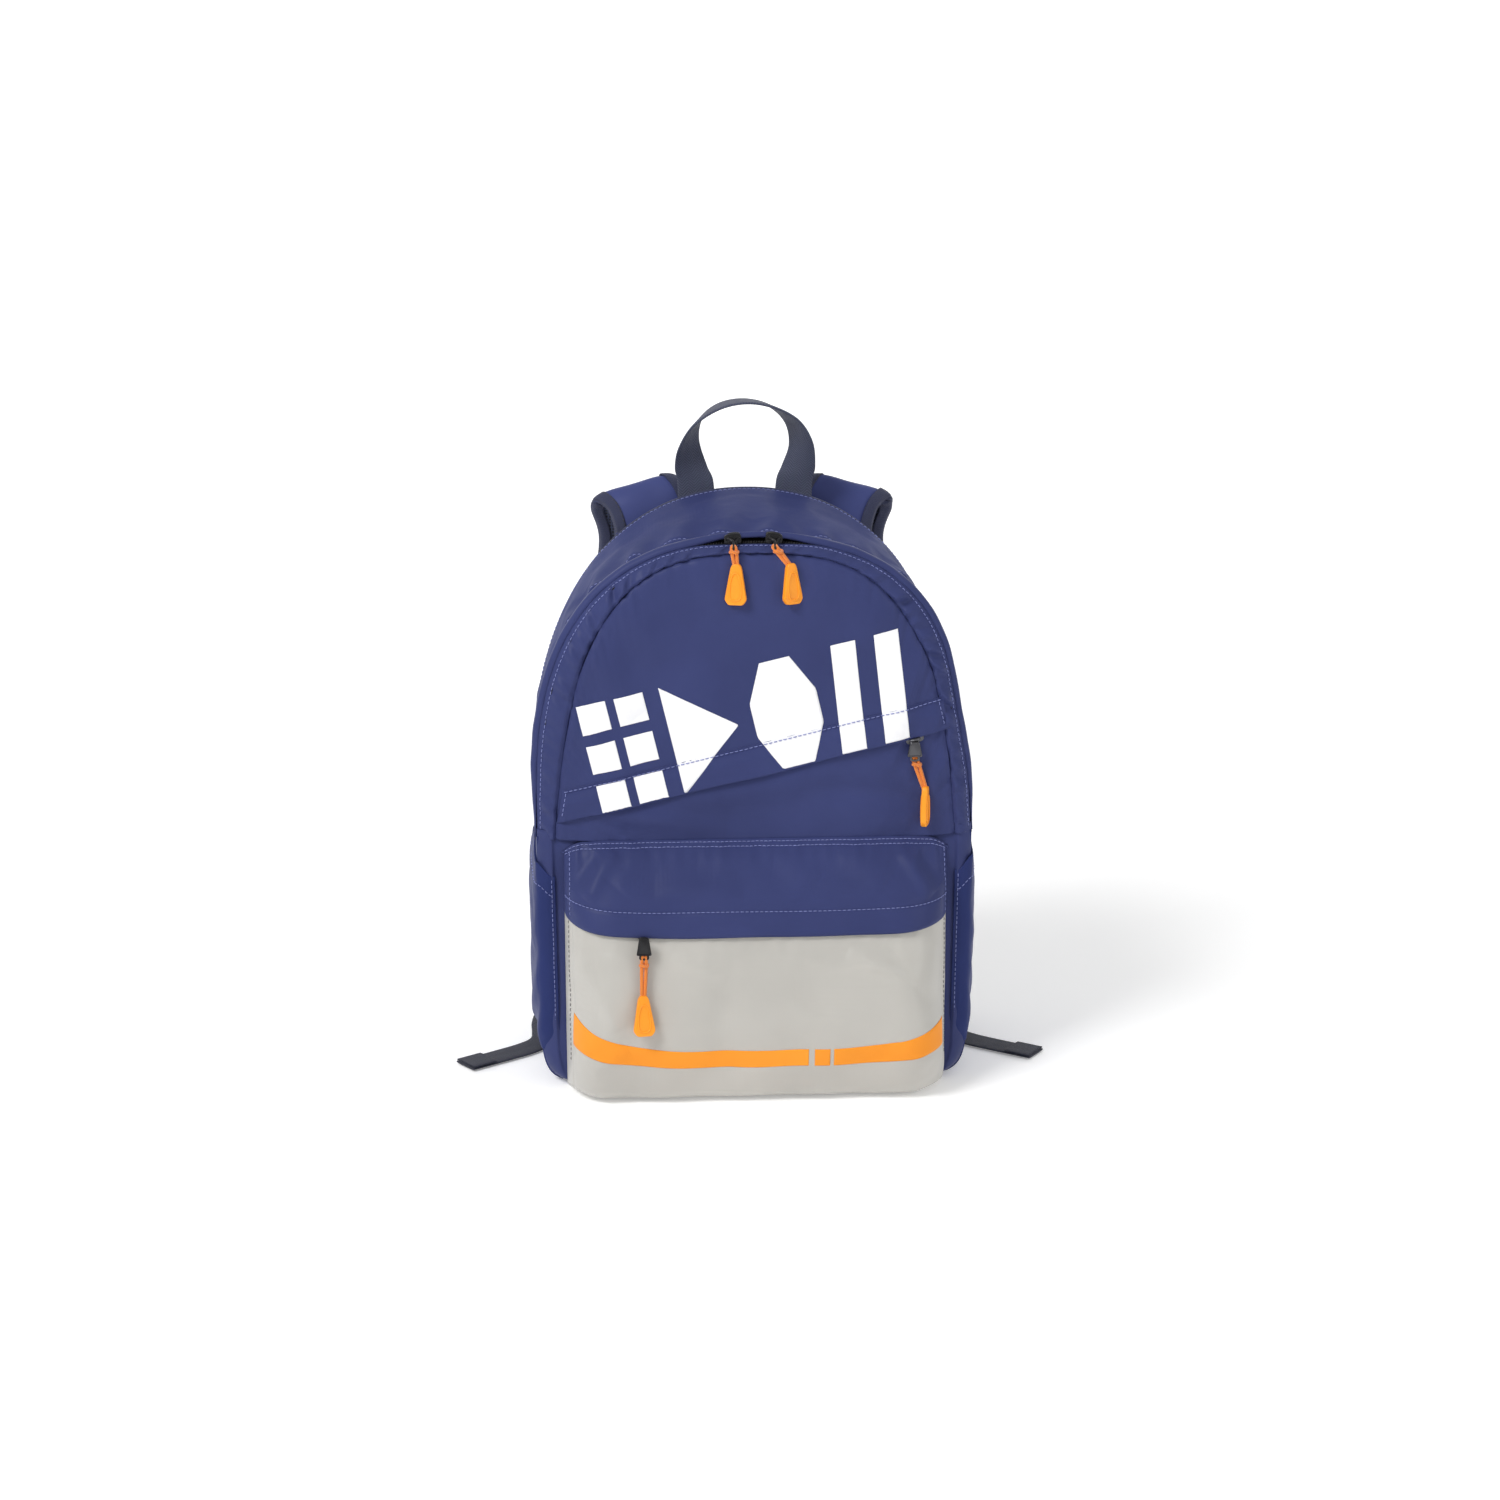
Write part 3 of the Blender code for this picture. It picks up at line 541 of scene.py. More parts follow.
class Patch:
    """A cloth surface over u and v, both from 0 to 1, with what the cloth simulation moved it by."""

    def __init__(self, surface, outward=1):
        self.surface = surface
        self.outward = outward
        self.shift = None

    def at(self, u, v, lift=0.0):
        u, v = np.broadcast_arrays(np.asarray(u, float), np.asarray(v, float))
        points = self.surface(u, v)
        if self.shift is not None:
            points = points + self.sampled(u, v)
        if np.any(lift):
            points = points + np.asarray(lift)[..., None] * self.normal(u, v)
        return points

    def sampled(self, u, v):
        rows, columns = self.shift.shape[:2]
        i, j = np.clip(v, 0, 1) * (rows - 1), np.clip(u, 0, 1) * (columns - 1)
        i0, j0 = np.minimum(i.astype(int), rows - 2), np.minimum(j.astype(int), columns - 2)
        a, b = (i - i0)[..., None], (j - j0)[..., None]
        a, b = a * a * (3 - 2 * a), b * b * (3 - 2 * b)
        s = self.shift
        return ((s[i0, j0] * (1 - b) + s[i0, j0 + 1] * b) * (1 - a)
                + (s[i0 + 1, j0] * (1 - b) + s[i0 + 1, j0 + 1] * b) * a)

    def normal(self, u, v):
        step = 0.002
        du = self.at(np.minimum(u + step, 1), v) - self.at(np.maximum(u - step, 0), v)
        dv = self.at(u, np.minimum(v + step, 1)) - self.at(u, np.maximum(v - step, 0))
        n = self.outward * np.cross(du, dv)
        return n / np.maximum(np.linalg.norm(n, axis=-1, keepdims=True), 1e-9)

    def settle(self, columns, rows, pressure, grow, cap, free_u=(0.02, 0.98), free_v=(0.02, 0.98), soften=4):
        """Swells the cloth with a simulation, held outside the free u and v, and keeps the softened shift."""
        u, v = full_grid(columns, rows)
        held = (u < free_u[0]) | (u > free_u[1]) | (v < free_v[0]) | (v > free_v[1])
        start = self.surface(u, v)
        draft = grid_piece("cloth_draft", start, "navy_fabric", flip=self.outward > 0)
        group = draft.vertex_groups.new(name="held")
        group.add(np.flatnonzero(held).tolist(), 1.0, "REPLACE")
        cloth = draft.modifiers.new("Cloth", "CLOTH")
        settings = cloth.settings
        settings.quality = 4
        settings.mass = 0.2
        settings.tension_stiffness = settings.compression_stiffness = 20.0
        settings.shear_stiffness = 6.0
        settings.bending_stiffness = 0.6
        settings.air_damping = 2.0
        settings.vertex_group_mass = "held"
        settings.shrink_min = -grow
        settings.use_pressure = True
        settings.uniform_pressure_force = pressure
        settings.effector_weights.gravity = 0.0
        scene = bpy.context.scene
        cloth.point_cache.frame_start, cloth.point_cache.frame_end = 1, SETTLE_FRAMES
        scene.frame_start, scene.frame_end = 1, SETTLE_FRAMES
        for number in range(1, SETTLE_FRAMES + 1):
            scene.frame_set(number)
        evaluated = draft.evaluated_get(bpy.context.evaluated_depsgraph_get())
        moved = np.zeros(start.size)
        evaluated.data.vertices.foreach_get("co", moved)
        shift = moved.reshape(start.shape) / MM - start
        for _ in range(soften):
            for axis in (0, 1):
                padded = np.pad(shift, [(1, 1) if k == axis else (0, 0) for k in range(3)], "edge")
                before, after = (np.take(padded, range(k, k + shift.shape[axis]), axis) for k in (0, 2))
                shift = shift / 2 + (before + after) / 4
        shift *= 1 - held[..., None]
        length = np.linalg.norm(shift, axis=2, keepdims=True)
        self.shift = shift * np.minimum(1.0, cap / np.maximum(length, 1e-9))
        mesh = draft.data
        bpy.data.objects.remove(draft)
        bpy.data.meshes.remove(mesh)
        scene.frame_set(1)

    def piece(self, name, columns, rows, slot, thickness, v=(0, 1), lift=0.0):
        """The surface as a mesh, from v[0] to v[1] and all along u."""
        us, vs = np.meshgrid(np.linspace(0, 1, columns), np.linspace(*v, rows))
        obj = grid_piece(name, self.at(us, vs, lift), slot, flip=self.outward > 0)
        return thicken(obj, thickness)


STITCH_LENGTH, STITCH_RADIUS = 2.5, 0.3


def stitch_row(name, patch, u, v, slot="thread", pitch=3.4, sink=-0.05):
    """Thread stitches along a line on a patch: u and v are dense arrays along it, or one of them a number."""
    u, v = np.broadcast_arrays(u, v)
    lengths = path_lengths(patch.at(u, v))
    starts = np.arange(0.3, lengths[-1] - STITCH_LENGTH, pitch)
    at = starts[:, None] + STITCH_LENGTH * np.array([0.0, 0.22, 0.5, 0.78, 1.0])
    us, vs = np.interp(at, lengths, u), np.interp(at, lengths, v)
    lift = np.broadcast_to(np.array([-0.35, 0.15, 0.3, 0.15, -0.35]) - sink, at.shape)
    rows = patch.at(us, vs, lift)
    radii = STITCH_RADIUS * np.array([0.6, 1.0, 1.0, 1.0, 0.6])
    return joined(name, [tube(row, radii, 6) for row in rows], slot)


def seam_groove(distance, width, depth):
    """How far cloth is pulled in at that distance from a line of stitches."""
    return -depth * np.exp(-(distance / width) ** 2)


def ride_all(pieces, body):
    """Fixes pieces to a body."""
    for piece in pieces:
        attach(piece, body)


def smooth_arch(half, height, foot, power, turns=400):
    """The arch in the front view, from its left foot to its right one."""
    turn = np.linspace(math.pi, 0, turns)
    reach = 2 / power
    x = half * np.sign(np.cos(turn)) * np.abs(np.cos(turn)) ** reach
    z = ARCH_CENTRE + height * np.abs(np.sin(turn)) ** reach
    return resampled(np.concatenate([[(-half, foot)], np.stack([x, z], axis=1), [(half, foot)]]), 1201)


def on_path(path, u):
    """Points of an evenly spaced path at u from 0 to 1."""
    at = np.asarray(u) * (len(path) - 1)
    index = np.arange(len(path))
    return np.stack([np.interp(at, index, path[:, k]) for k in range(path.shape[1])], axis=-1)


def path_normals(path):
    """Unit normals of a path in the front view, pointing to its left, so out of an arch."""
    tangents = np.gradient(path, axis=0)
    normals = np.stack([-tangents[:, 1], tangents[:, 0]], axis=1)
    return normals / np.linalg.norm(normals, axis=1, keepdims=True)


# The arched zip and the cloth around it.

RIGHT_SLACK = 7.0


def slack_share(path):
    """How much of its slack the right side of an arch has taken up, at its middle height."""
    return np.exp(-((path[:, 1] - 264) / 50) ** 2) * rise(path[:, 0], 60, 130)


def slack_arch(*sizes):
    """An arch that sags inwards on its right."""
    path = smooth_arch(*sizes)
    path[:, 0] -= RIGHT_SLACK * slack_share(path)
    return path


ZIP_EDGE = slack_arch(HALF_WIDTH, ZIP_RISE, FOLD_Z, ZIP_POWER)
BACK_EDGE = slack_arch(HALF_WIDTH, BACK_RISE, FOLD_Z, BACK_POWER)
ZIP_OUT = path_normals(ZIP_EDGE)
ARCH_LENGTH = path_lengths(ZIP_EDGE)[-1]
SEAM_INSET = np.interp(ZIP_EDGE[:, 1], (176, 215, 262, 320, 350, 370, 380), (13, 17, 20.5, 18, 14, 9, 8))
SEAM_INSET -= 8.0 * slack_share(ZIP_EDGE)
SEAM_INSET = np.convolve(np.pad(SEAM_INSET, 30, "edge"), np.ones(61) / 61, "valid")
SEAM_EDGE = ZIP_EDGE - ZIP_OUT * SEAM_INSET[:, None]
LIP_Y = -44.0
GUSSET_DEPTH = BACK_Y - LIP_Y
TOP_STITCH = 8.5


def off_arch(u, out, y):
    """Points at out beyond the zip's arch, measured in the front view, and at y."""
    edge, normal = on_path(ZIP_EDGE, u), on_path(ZIP_OUT, u)
    spot = edge + normal * np.asarray(out)[..., None]
    return stacked(spot[..., 0], y, spot[..., 1])


def gusset_surface(u, v):
    edge = on_path(ZIP_EDGE, u) * v[..., None] + on_path(BACK_EDGE, u) * (1 - v)[..., None]
    along, from_lip = u * ARCH_LENGTH, (1 - v) * GUSSET_DEPTH
    swell = 3.0 * v * (1 - v) + rise(v, 0.2, 1.0) * ripples(along + 16 * v, 3, 44, 2.2)
    swell += np.exp(-(from_lip - TOP_STITCH) ** 2 / 160) * ripples(along, 5, 21, 1.5)
    swell += seam_groove(from_lip - TOP_STITCH, 1.3, 0.7)
    swell *= rise(np.minimum(u, 1 - u) * ARCH_LENGTH, -6, 70) * (1 - rise(v, 0.94, 1.0))
    spot = edge + on_path(ZIP_OUT, u) * swell[..., None]
    return stacked(spot[..., 0], BACK_Y - GUSSET_DEPTH * v, spot[..., 1])


LIP_FOLD = smooth_path([(-44.0, 0.0), (-45.5, 1.5), (-48.4, 3.0), (-51.8, 3.1), (-54.2, 1.8), (-55.2, -0.2),
                        (-54.6, -2.2), (-51.8, -3.4), (-48.0, -3.0)], 6)


def slot_open(u):
    """1 at the top middle, where the lip stands away from the zip, and 0 along the rest of the arch."""
    return np.exp(-((u - 0.5) * ARCH_LENGTH / 34) ** 4)


def lip_surface(u, v):
    fold = on_path(LIP_FOLD, v)
    along = u * ARCH_LENGTH
    out = fold[..., 1] + rise(v, 0.1, 0.5) * (ripples(along, 8, 24, 0.3) + 2.0 * slot_open(u))
    out += rise(v, 0.5, 1.0) * 2.2 * slot_open(u)
    out *= 0.15 + 0.85 * rise(np.minimum(u, 1 - u) * ARCH_LENGTH, -8, 60)
    y = fold[..., 0] + rise(v, 0.2, 0.6) * (ripples(along, 9, 30, 0.25) + 2.2 * slot_open(u))
    return off_arch(u, out, y)


def strip_surface(u, v):
    """The ruched strip, from the front zip tape to the panel's seam."""
    zip_side = off_arch(u, -1.2 - 1.4 * slot_open(u), -55.4 - 0.6 * slot_open(u))
    seam = on_path(SEAM_EDGE, u)
    spot = zip_side[..., [0, 2]] * (1 - v)[..., None] + seam * v[..., None]
    along = u * ARCH_LENGTH
    middle = np.sin(math.pi * np.clip(v, 0, 1))
    y = zip_side[..., 1] - 8.6 * np.sin(v * math.pi / 2) ** 0.75 + 1.8 * rise(v, 0.8, 1.0)
    strength = 0.45 + 0.9 * np.exp(-((along - 215) / 80) ** 2) + 0.8 * np.exp(-((along - 470) / 90) ** 2)
    y += middle * strength * ripples(along + 9 * v, 21, 17, 1.9)
    y += rise(v, 0.35, 0.95) * (0.3 + strength) * ripples(along, 22, 9.5, 0.5)
    y += seam_groove(v * 13 - 2.2, 1.2, -0.5)
    return stacked(spot[..., 0], y, spot[..., 1])


def seam_distance(x, z):
    """How far points of the front view lie from the panel's seam."""
    path = SEAM_EDGE[::4]
    flat = np.stack([np.ravel(x), np.ravel(z)], axis=1)
    best = np.full(len(flat), 1e9)
    for start in range(0, len(path), 50):
        away = np.linalg.norm(flat[:, None] - path[None, start:start + 50], axis=2)
        best = np.minimum(best, away.min(axis=1))
    return best.reshape(np.shape(x))


PANEL_FOLDS = (
    ((17, 375), (27, 338), 4.2, 1.3), ((24, 374), (38, 346), 4.0, -1.0), ((-42, 372), (-20, 330), 8, 0.8),
    ((-118, 318), (-80, 262), 12, 1.4), ((-128, 262), (-84, 222), 10, 1.1), ((-98, 350), (-60, 300), 11, 0.9),
    ((118, 310), (88, 246), 11, 1.3), ((96, 345), (60, 300), 10, 1.0), ((134, 236), (112, 200), 7, 1.1),
    ((-110, 196), (-20, 184), 7, 0.8), ((30, 214), (120, 200), 9, -1.1), ((-60, 200), (60, 222), 10, 0.8),
)


def panel_surface(u, v):
    border = on_path(SEAM_EDGE, u)
    base = stacked(border[..., 0] * 0.66, FOLD_Z - 2)
    spot = border * (1 - v)[..., None] + base * v[..., None]
    x, z = spot[..., 0], spot[..., 1]
    away = seam_distance(x, z)
    y = PANEL_Y - 1.0 - 2.6 * (1 - np.exp(-away / 32)) + 1.3 * np.exp(-(away / 2.2) ** 2)
    y -= np.exp(-away / 10) * ripples(u * ARCH_LENGTH, 31, 15, 0.45)
    for start, end, width, height in PANEL_FOLDS:
        y -= crease(x, z, start, end, width, height * 2.0)
    return stacked(x, y, z)


def surface_tree(points):
    """A ray-cast tree of a grid of points."""
    rows, columns = points.shape[:2]
    faces = [(i * columns + j, (i + 1) * columns + j, (i + 1) * columns + j + 1, i * columns + j + 1)
             for i in range(rows - 1) for j in range(columns - 1)]
    return BVHTree.FromPolygons(points.reshape(-1, 3).tolist(), faces)


def front_of(trees, x, z):
    """The y of the foremost surface at each place of the front view, or of the nearest one beside it."""
    depth = np.empty(np.shape(x))
    for index in np.ndindex(np.shape(x)):
        start = Vector((x[index], -200.0, z[index]))
        hits = [tree.ray_cast(start, Vector((0, 1, 0)))[0] for tree in trees]
        hits = [hit.y for hit in hits if hit is not None]
        if not hits:
            hits = [trees[0].find_nearest(Vector((x[index], PANEL_Y, z[index])))[0].y]
        depth[index] = min(hits)
    return depth


WELT_TOP = np.array([(-131.5, 211.0), (127.0, 272.5)])
WELT_EDGE = np.array([(-135.5, 188.8), (132.0, 251.7)])
WELT_ROLL = 1.0


def welt_place(u, v):
    top = WELT_TOP[0] + (WELT_TOP[1] - WELT_TOP[0]) * u[..., None]
    low = WELT_EDGE[0] + (WELT_EDGE[1] - WELT_EDGE[0]) * u[..., None]
    return top * (1 - v)[..., None] + low * v[..., None]


def make_front_panel():
    """The panel inside the arched zip, with its ruched strip, the slanting welt and the zip under it."""
    strip = Patch(strip_surface, -1)
    strip.settle(300, 8, pressure=1.2, grow=0.02, cap=1.2, free_u=ANY, soften=2)
    ruched = strip.piece("ruched_strip", 901, 22, "navy_fabric", 0.9)
    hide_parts("zip_strip", "main_zip_front_tape")
    edge_u = np.linspace(0.004, 0.996, 1600)
    edge_threads = stitch_row("strip_edge_stitches", strip, edge_u, 0.17)

    panel = Patch(panel_surface, -1)
    panel.settle(150, 34, pressure=0.5, grow=0.006, cap=1.6, free_u=ANY, free_v=(0.02, 0.97))
    sheet = panel.piece("front_panel_cloth", 441, 80, "navy_fabric", 1.2)
    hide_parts("front_panel")
    tree = surface_tree(panel.at(*full_grid(300, 60)))

    place = welt_place(*full_grid(130, 9))
    depth = front_of([tree], place[..., 0], place[..., 1])

    def welt_surface(u, v):
        flat, curl = np.minimum(v / 0.9, 1), np.clip((v - 0.9) / 0.1, 0, 1) * math.pi
        spot = welt_place(u, flat)
        i, j = flat * 8, u * 129
        i0, j0 = np.minimum(i.astype(int), 7), np.minimum(j.astype(int), 128)
        a, b = i - i0, j - j0
        under = ((depth[i0, j0] * (1 - b) + depth[i0, j0 + 1] * b) * (1 - a)
                 + (depth[i0 + 1, j0] * (1 - b) + depth[i0 + 1, j0 + 1] * b) * a)
        along = u * 265
        lift = 0.5 + 2.5 * rise(flat, 0.06, 0.5) + seam_groove(flat * 23 - 1.6, 1.2, 0.2)
        lift += flat * ripples(along, 41, 70, 0.5) + (1 - flat) * ripples(along, 42, 14, 0.15)
        lift *= rise(np.minimum(u, 1 - u) * 265, -3, 5)
        y = under - lift + WELT_ROLL * (1 - np.cos(curl))
        z = spot[..., 1] - WELT_ROLL * np.sin(curl) + flat * ripples(along, 43, 80, 0.5)
        return stacked(spot[..., 0], y, z)

    welt = Patch(welt_surface, -1)
    flap = welt.piece("welt_cloth", 321, 44, "navy_fabric", 0.5)
    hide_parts("welt_flap")
    wu = np.linspace(0.006, 0.994, 900)
    welt_threads = stitch_row("welt_stitches", welt, wu, 0.063, sink=-0.7)
    end_rows = [stitch_row(f"welt_end_stitches_{side}", welt, at, np.linspace(0.1, 0.88, 60))
                for side, at in (("left", 0.012), ("right", 0.988))]

    def zip_place(u, v):
        spot = WELT_EDGE[0] + (WELT_EDGE[1] - WELT_EDGE[0]) * (0.01 + 0.98 * u[..., None])
        return stacked(spot[..., 0], 0.0, spot[..., 1] + 10.0 - 6.0 * v)

    band = zip_place(*full_grid(120, 6))
    band[..., 1] = front_of([tree], band[..., 0], band[..., 2]) - 0.4
    tape = grid_piece("welt_zip_tape", band, "zip_tape")
    thicken(tape, 0.3)
    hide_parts("welt_zip")
    coils = []
    for name, row in (("upper", 1), ("lower", 3)):
        coil = band[row] - np.array([0, 0.6, 0])
        coils.append(joined(f"welt_coil_{name}", [tube(helix(coil, 0.5, 1.6), 0.2, 5)], "zip_coil"))

    pieces = [ruched, edge_threads, sheet, flap, welt_threads, *end_rows, tape, *coils]
    ride_all(pieces, "front_panel")
    make_print([surface_tree(welt.at(*full_grid(200, 16))), tree])


# The generic white print on the front panel.

PRINT_TILT = math.radians(13.4)
PRINT_CENTRE = (-7.0, 257.0)
BLOCK_WIDTH, BLOCK_HEIGHT, BLOCK_STEP = 46.0, 76.0, 57.0
SQUARE, BAR_WIDTH, BAR_SLANT = 20, 17, 9


def print_piece(name, corners, trees, bent=None):
    """A white shape between its low left, low right, high right and high left corners in the print's axes."""
    low_left, low_right, high_right, high_left = (np.array(c, float) for c in corners)
    u, v = full_grid(26, 34)
    u, v = u[..., None], v[..., None]
    spot = (low_left * (1 - u) + low_right * u) * (1 - v) + (high_left * (1 - u) + high_right * u) * v
    if bent:
        spot = bent(u[..., 0], v[..., 0])
    c, s = math.cos(PRINT_TILT), math.sin(PRINT_TILT)
    x, z = spot[..., 0] * c - spot[..., 1] * s, spot[..., 0] * s + spot[..., 1] * c
    x, z = x + PRINT_CENTRE[0], z + PRINT_CENTRE[1]
    z = np.maximum(z, np.interp(x, WELT_EDGE[:, 0], WELT_EDGE[:, 1]) + 0.6)
    points = stacked(x, front_of(trees, x, z) - 0.35, z)
    return thicken(grid_piece(name, points, "white_print", flip=True), 0.25)


def box_corners(left, low, right, high, slant=0.0):
    return [(left, low), (right, low), (right + slant, high), (left + slant, high)]


def make_print(trees):
    """Four plain shapes on a slant: six squares, an arrowhead, a six-sided block, and two slanting bars."""
    half_w, half_h = BLOCK_WIDTH / 2, BLOCK_HEIGHT / 2
    squares, arrow, block, bars = ((i - 1.5) * BLOCK_STEP for i in range(4))
    pieces = []
    for column, left in enumerate((squares - half_w, squares + 3)):
        for row, low in enumerate((-half_h, -SQUARE / 2, half_h - SQUARE)):
            corners = box_corners(left, low, left + SQUARE, low + SQUARE)
            pieces.append(print_piece(f"print_square_{column}{row}", corners, trees))
    pieces.append(print_piece("print_arrow", [(arrow - half_w, -half_h), (arrow + half_w, -0.5),
                                              (arrow + half_w, 0.5), (arrow - half_w, half_h)], trees))

    def six_sided(u, v):
        width = half_w * np.minimum(1, 0.45 + 1.6 * np.minimum(v, 1 - v))
        return stacked(block + width * (2 * u - 1), -half_h + BLOCK_HEIGHT * v)

    pieces.append(print_piece("print_block", [(0, 0)] * 4, trees, six_sided))
    for index, left in enumerate((bars - half_w - 4, bars + 3)):
        corners = box_corners(left, -half_h, left + BAR_WIDTH, half_h, BAR_SLANT)
        pieces.append(print_piece(f"print_bar_{index}", corners, trees))
    ride_all(pieces, "front_panel")


def make_gusset():
    """The cloth over the top and its rolled lip in front of the zip."""
    gusset = Patch(gusset_surface, -1)
    gusset.settle(240, 36, pressure=0.6, grow=0.008, cap=1.4, free_v=(0.02, 0.9))
    top = gusset.piece("top_gusset_cloth", 721, 64, "navy_top", 1.2)
    lip = Patch(lip_surface, -1)
    roll = lip.piece("rolled_lip", 721, 26, "navy_fabric", 0.9)
    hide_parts("top_gusset")
    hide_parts("arch_piping", "main_zip_rear_tape")
    u = np.linspace(0.003, 0.997, 1600)
    threads = stitch_row("lip_stitches", gusset, u, 1 - TOP_STITCH / GUSSET_DEPTH)
    back_threads = stitch_row("back_seam_stitches", gusset, u, 0.05)
    ride_all([top, roll], "pack")
    ride_all([threads, back_threads], "pack")


MAIN_COIL_OUT = -2.2


def make_main_zip():
    """Two coils that mesh under the lip, and their tapes."""
    u = np.linspace(0.004, 0.996, 1200)
    for name, y, body in (("rear_coil", -51.9, "pack"), ("front_coil", -53.8, "front_panel")):
        path = off_arch(u, np.full(len(u), MAIN_COIL_OUT), y)
        coil = joined(name, [tube(helix(path, 0.85, 1.8), 0.34, 5)], "zip_coil")
        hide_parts(f"main_zip_{name}")
        ride_all([coil], body)

    def tape_surface(start, end):
        def surface(u, v):
            out = start[0] + (end[0] - start[0]) * v
            return off_arch(u, out, start[1] + (end[1] - start[1]) * v)
        return surface

    for name, start, end, body in (("rear_tape", (-0.5, -43.0), (-3.0, -52.6), "pack"),
                                   ("front_tape", (-3.0, -53.2), (-4.6, -58.0), "front_panel")):
        tape = Patch(tape_surface(start, end), -1).piece(name, 601, 5, "zip_tape", 0.5)
        ride_all([tape], body)


# Sides, base, and the parts of the body that the pocket hides.

SIDE_LINE = smooth_path([(-150.0, 177.0), (-149.4, 130.0), (-148.8, 80.0), (-148.4, 40.0), (-147.2, 20.0),
                         (-142.4, 8.0), (-134.0, 2.2), (-122.0, 0.3)], 16)
SIDE_LINE = resampled(SIDE_LINE, 400)
SIDE_FRONT = -57.0


def side_surface(sign):
    def surface(u, v):
        line = on_path(SIDE_LINE, v)
        y = SIDE_FRONT + (BACK_Y - SIDE_FRONT) * u
        swell = 2.4 * np.sin(math.pi * u) * np.sin(math.pi * np.clip(v * 1.1, 0, 1))
        swell += ripples(y + 30 * v, 51 + sign, 44, 0.8) * np.sin(math.pi * u) * rise(v, 0, 0.2)
        corner = 0.7 * np.exp(-(u * 115 / 4) ** 2)
        x = line[..., 0] - swell + corner
        return stacked(-sign * x, y, line[..., 1])
    return surface


POCKET_PLAN = resampled(smooth_path([(136.4, -64.2), (143.0, -63.9), (149.2, -60.2), (152.0, -50.0),
                                     (153.4, -25.0), (153.9, 0.0), (153.4, 25.0), (152.0, 44.0),
                                     (150.0, 52.0)], 12), 300)


def side_pocket_surface(sign):
    def surface(u, v):
        plan = on_path(POCKET_PLAN, u)
        y = plan[..., 1]
        top = 150.5 + 9.0 * rise(plan[..., 0], 138, 149.5) + 12.0 * rise(y, -60, -25) - 12.0 * rise(y, 5, 52)
        z = top + (24.0 - top) * v
        body = -np.interp(z, SIDE_LINE[::-1, 1], SIDE_LINE[::-1, 0])
        full = 1 - 0.75 * rise(v, 0.88, 1.0)
        slack = ripples(y, 61 + sign, 24, 0.5) * (1 - v) + ripples(z + y, 63 + sign, 40, 0.9)
        slack += seam_groove(v * 125 - 14, 1.3, 0.6)
        past = plan[..., 0] - 149.5
        full *= 0.35 + 0.65 * rise(v, 0.0, 0.3)
        out = np.where(past > 0, past * full, past) + slack * np.sin(math.pi * u)
        y = y + 3.5 * rise(-z, -40, -24) * rise(-y, 50, 62)
        return stacked(sign * (body + 0.5 + out), y, z)
    return surface


def make_sides():
    for side, sign in SIDES.items():
        patch = Patch(side_surface(sign), -sign)
        patch.settle(44, 60, pressure=0.8, grow=0.006, cap=1.5)
        cloth = patch.piece(f"{side}_side_cloth", 90, 130, "navy_side", 1.2)
        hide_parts(f"{side}_side_panel")
        rows = [stitch_row(f"{side}_foot_seam_stitches", patch, np.linspace(0.03, 0.97, 300), 0.012,
                           "dark_thread")]
        pocket = Patch(side_pocket_surface(sign), -sign)
        pocket.settle(60, 50, pressure=1.2, grow=0.008, cap=1.6, free_u=(0.12, 0.98))
        pouch = pocket.piece(f"{side}_pocket_cloth", 160, 110, "navy_side", 1.3)
        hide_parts(f"{side}_side_pocket")
        for edge, u, v in (("hem", np.linspace(0.02, 0.98, 400), 0.112),
                           ("front", 0.02, np.linspace(0.02, 0.98, 300)),
                           ("back", 0.965, np.linspace(0.02, 0.98, 300))):
            rows.append(stitch_row(f"{side}_pocket_{edge}_stitches", pocket, u, v))
        ride_all([cloth, pouch], "pack")
        ride_all(rows, "pack")


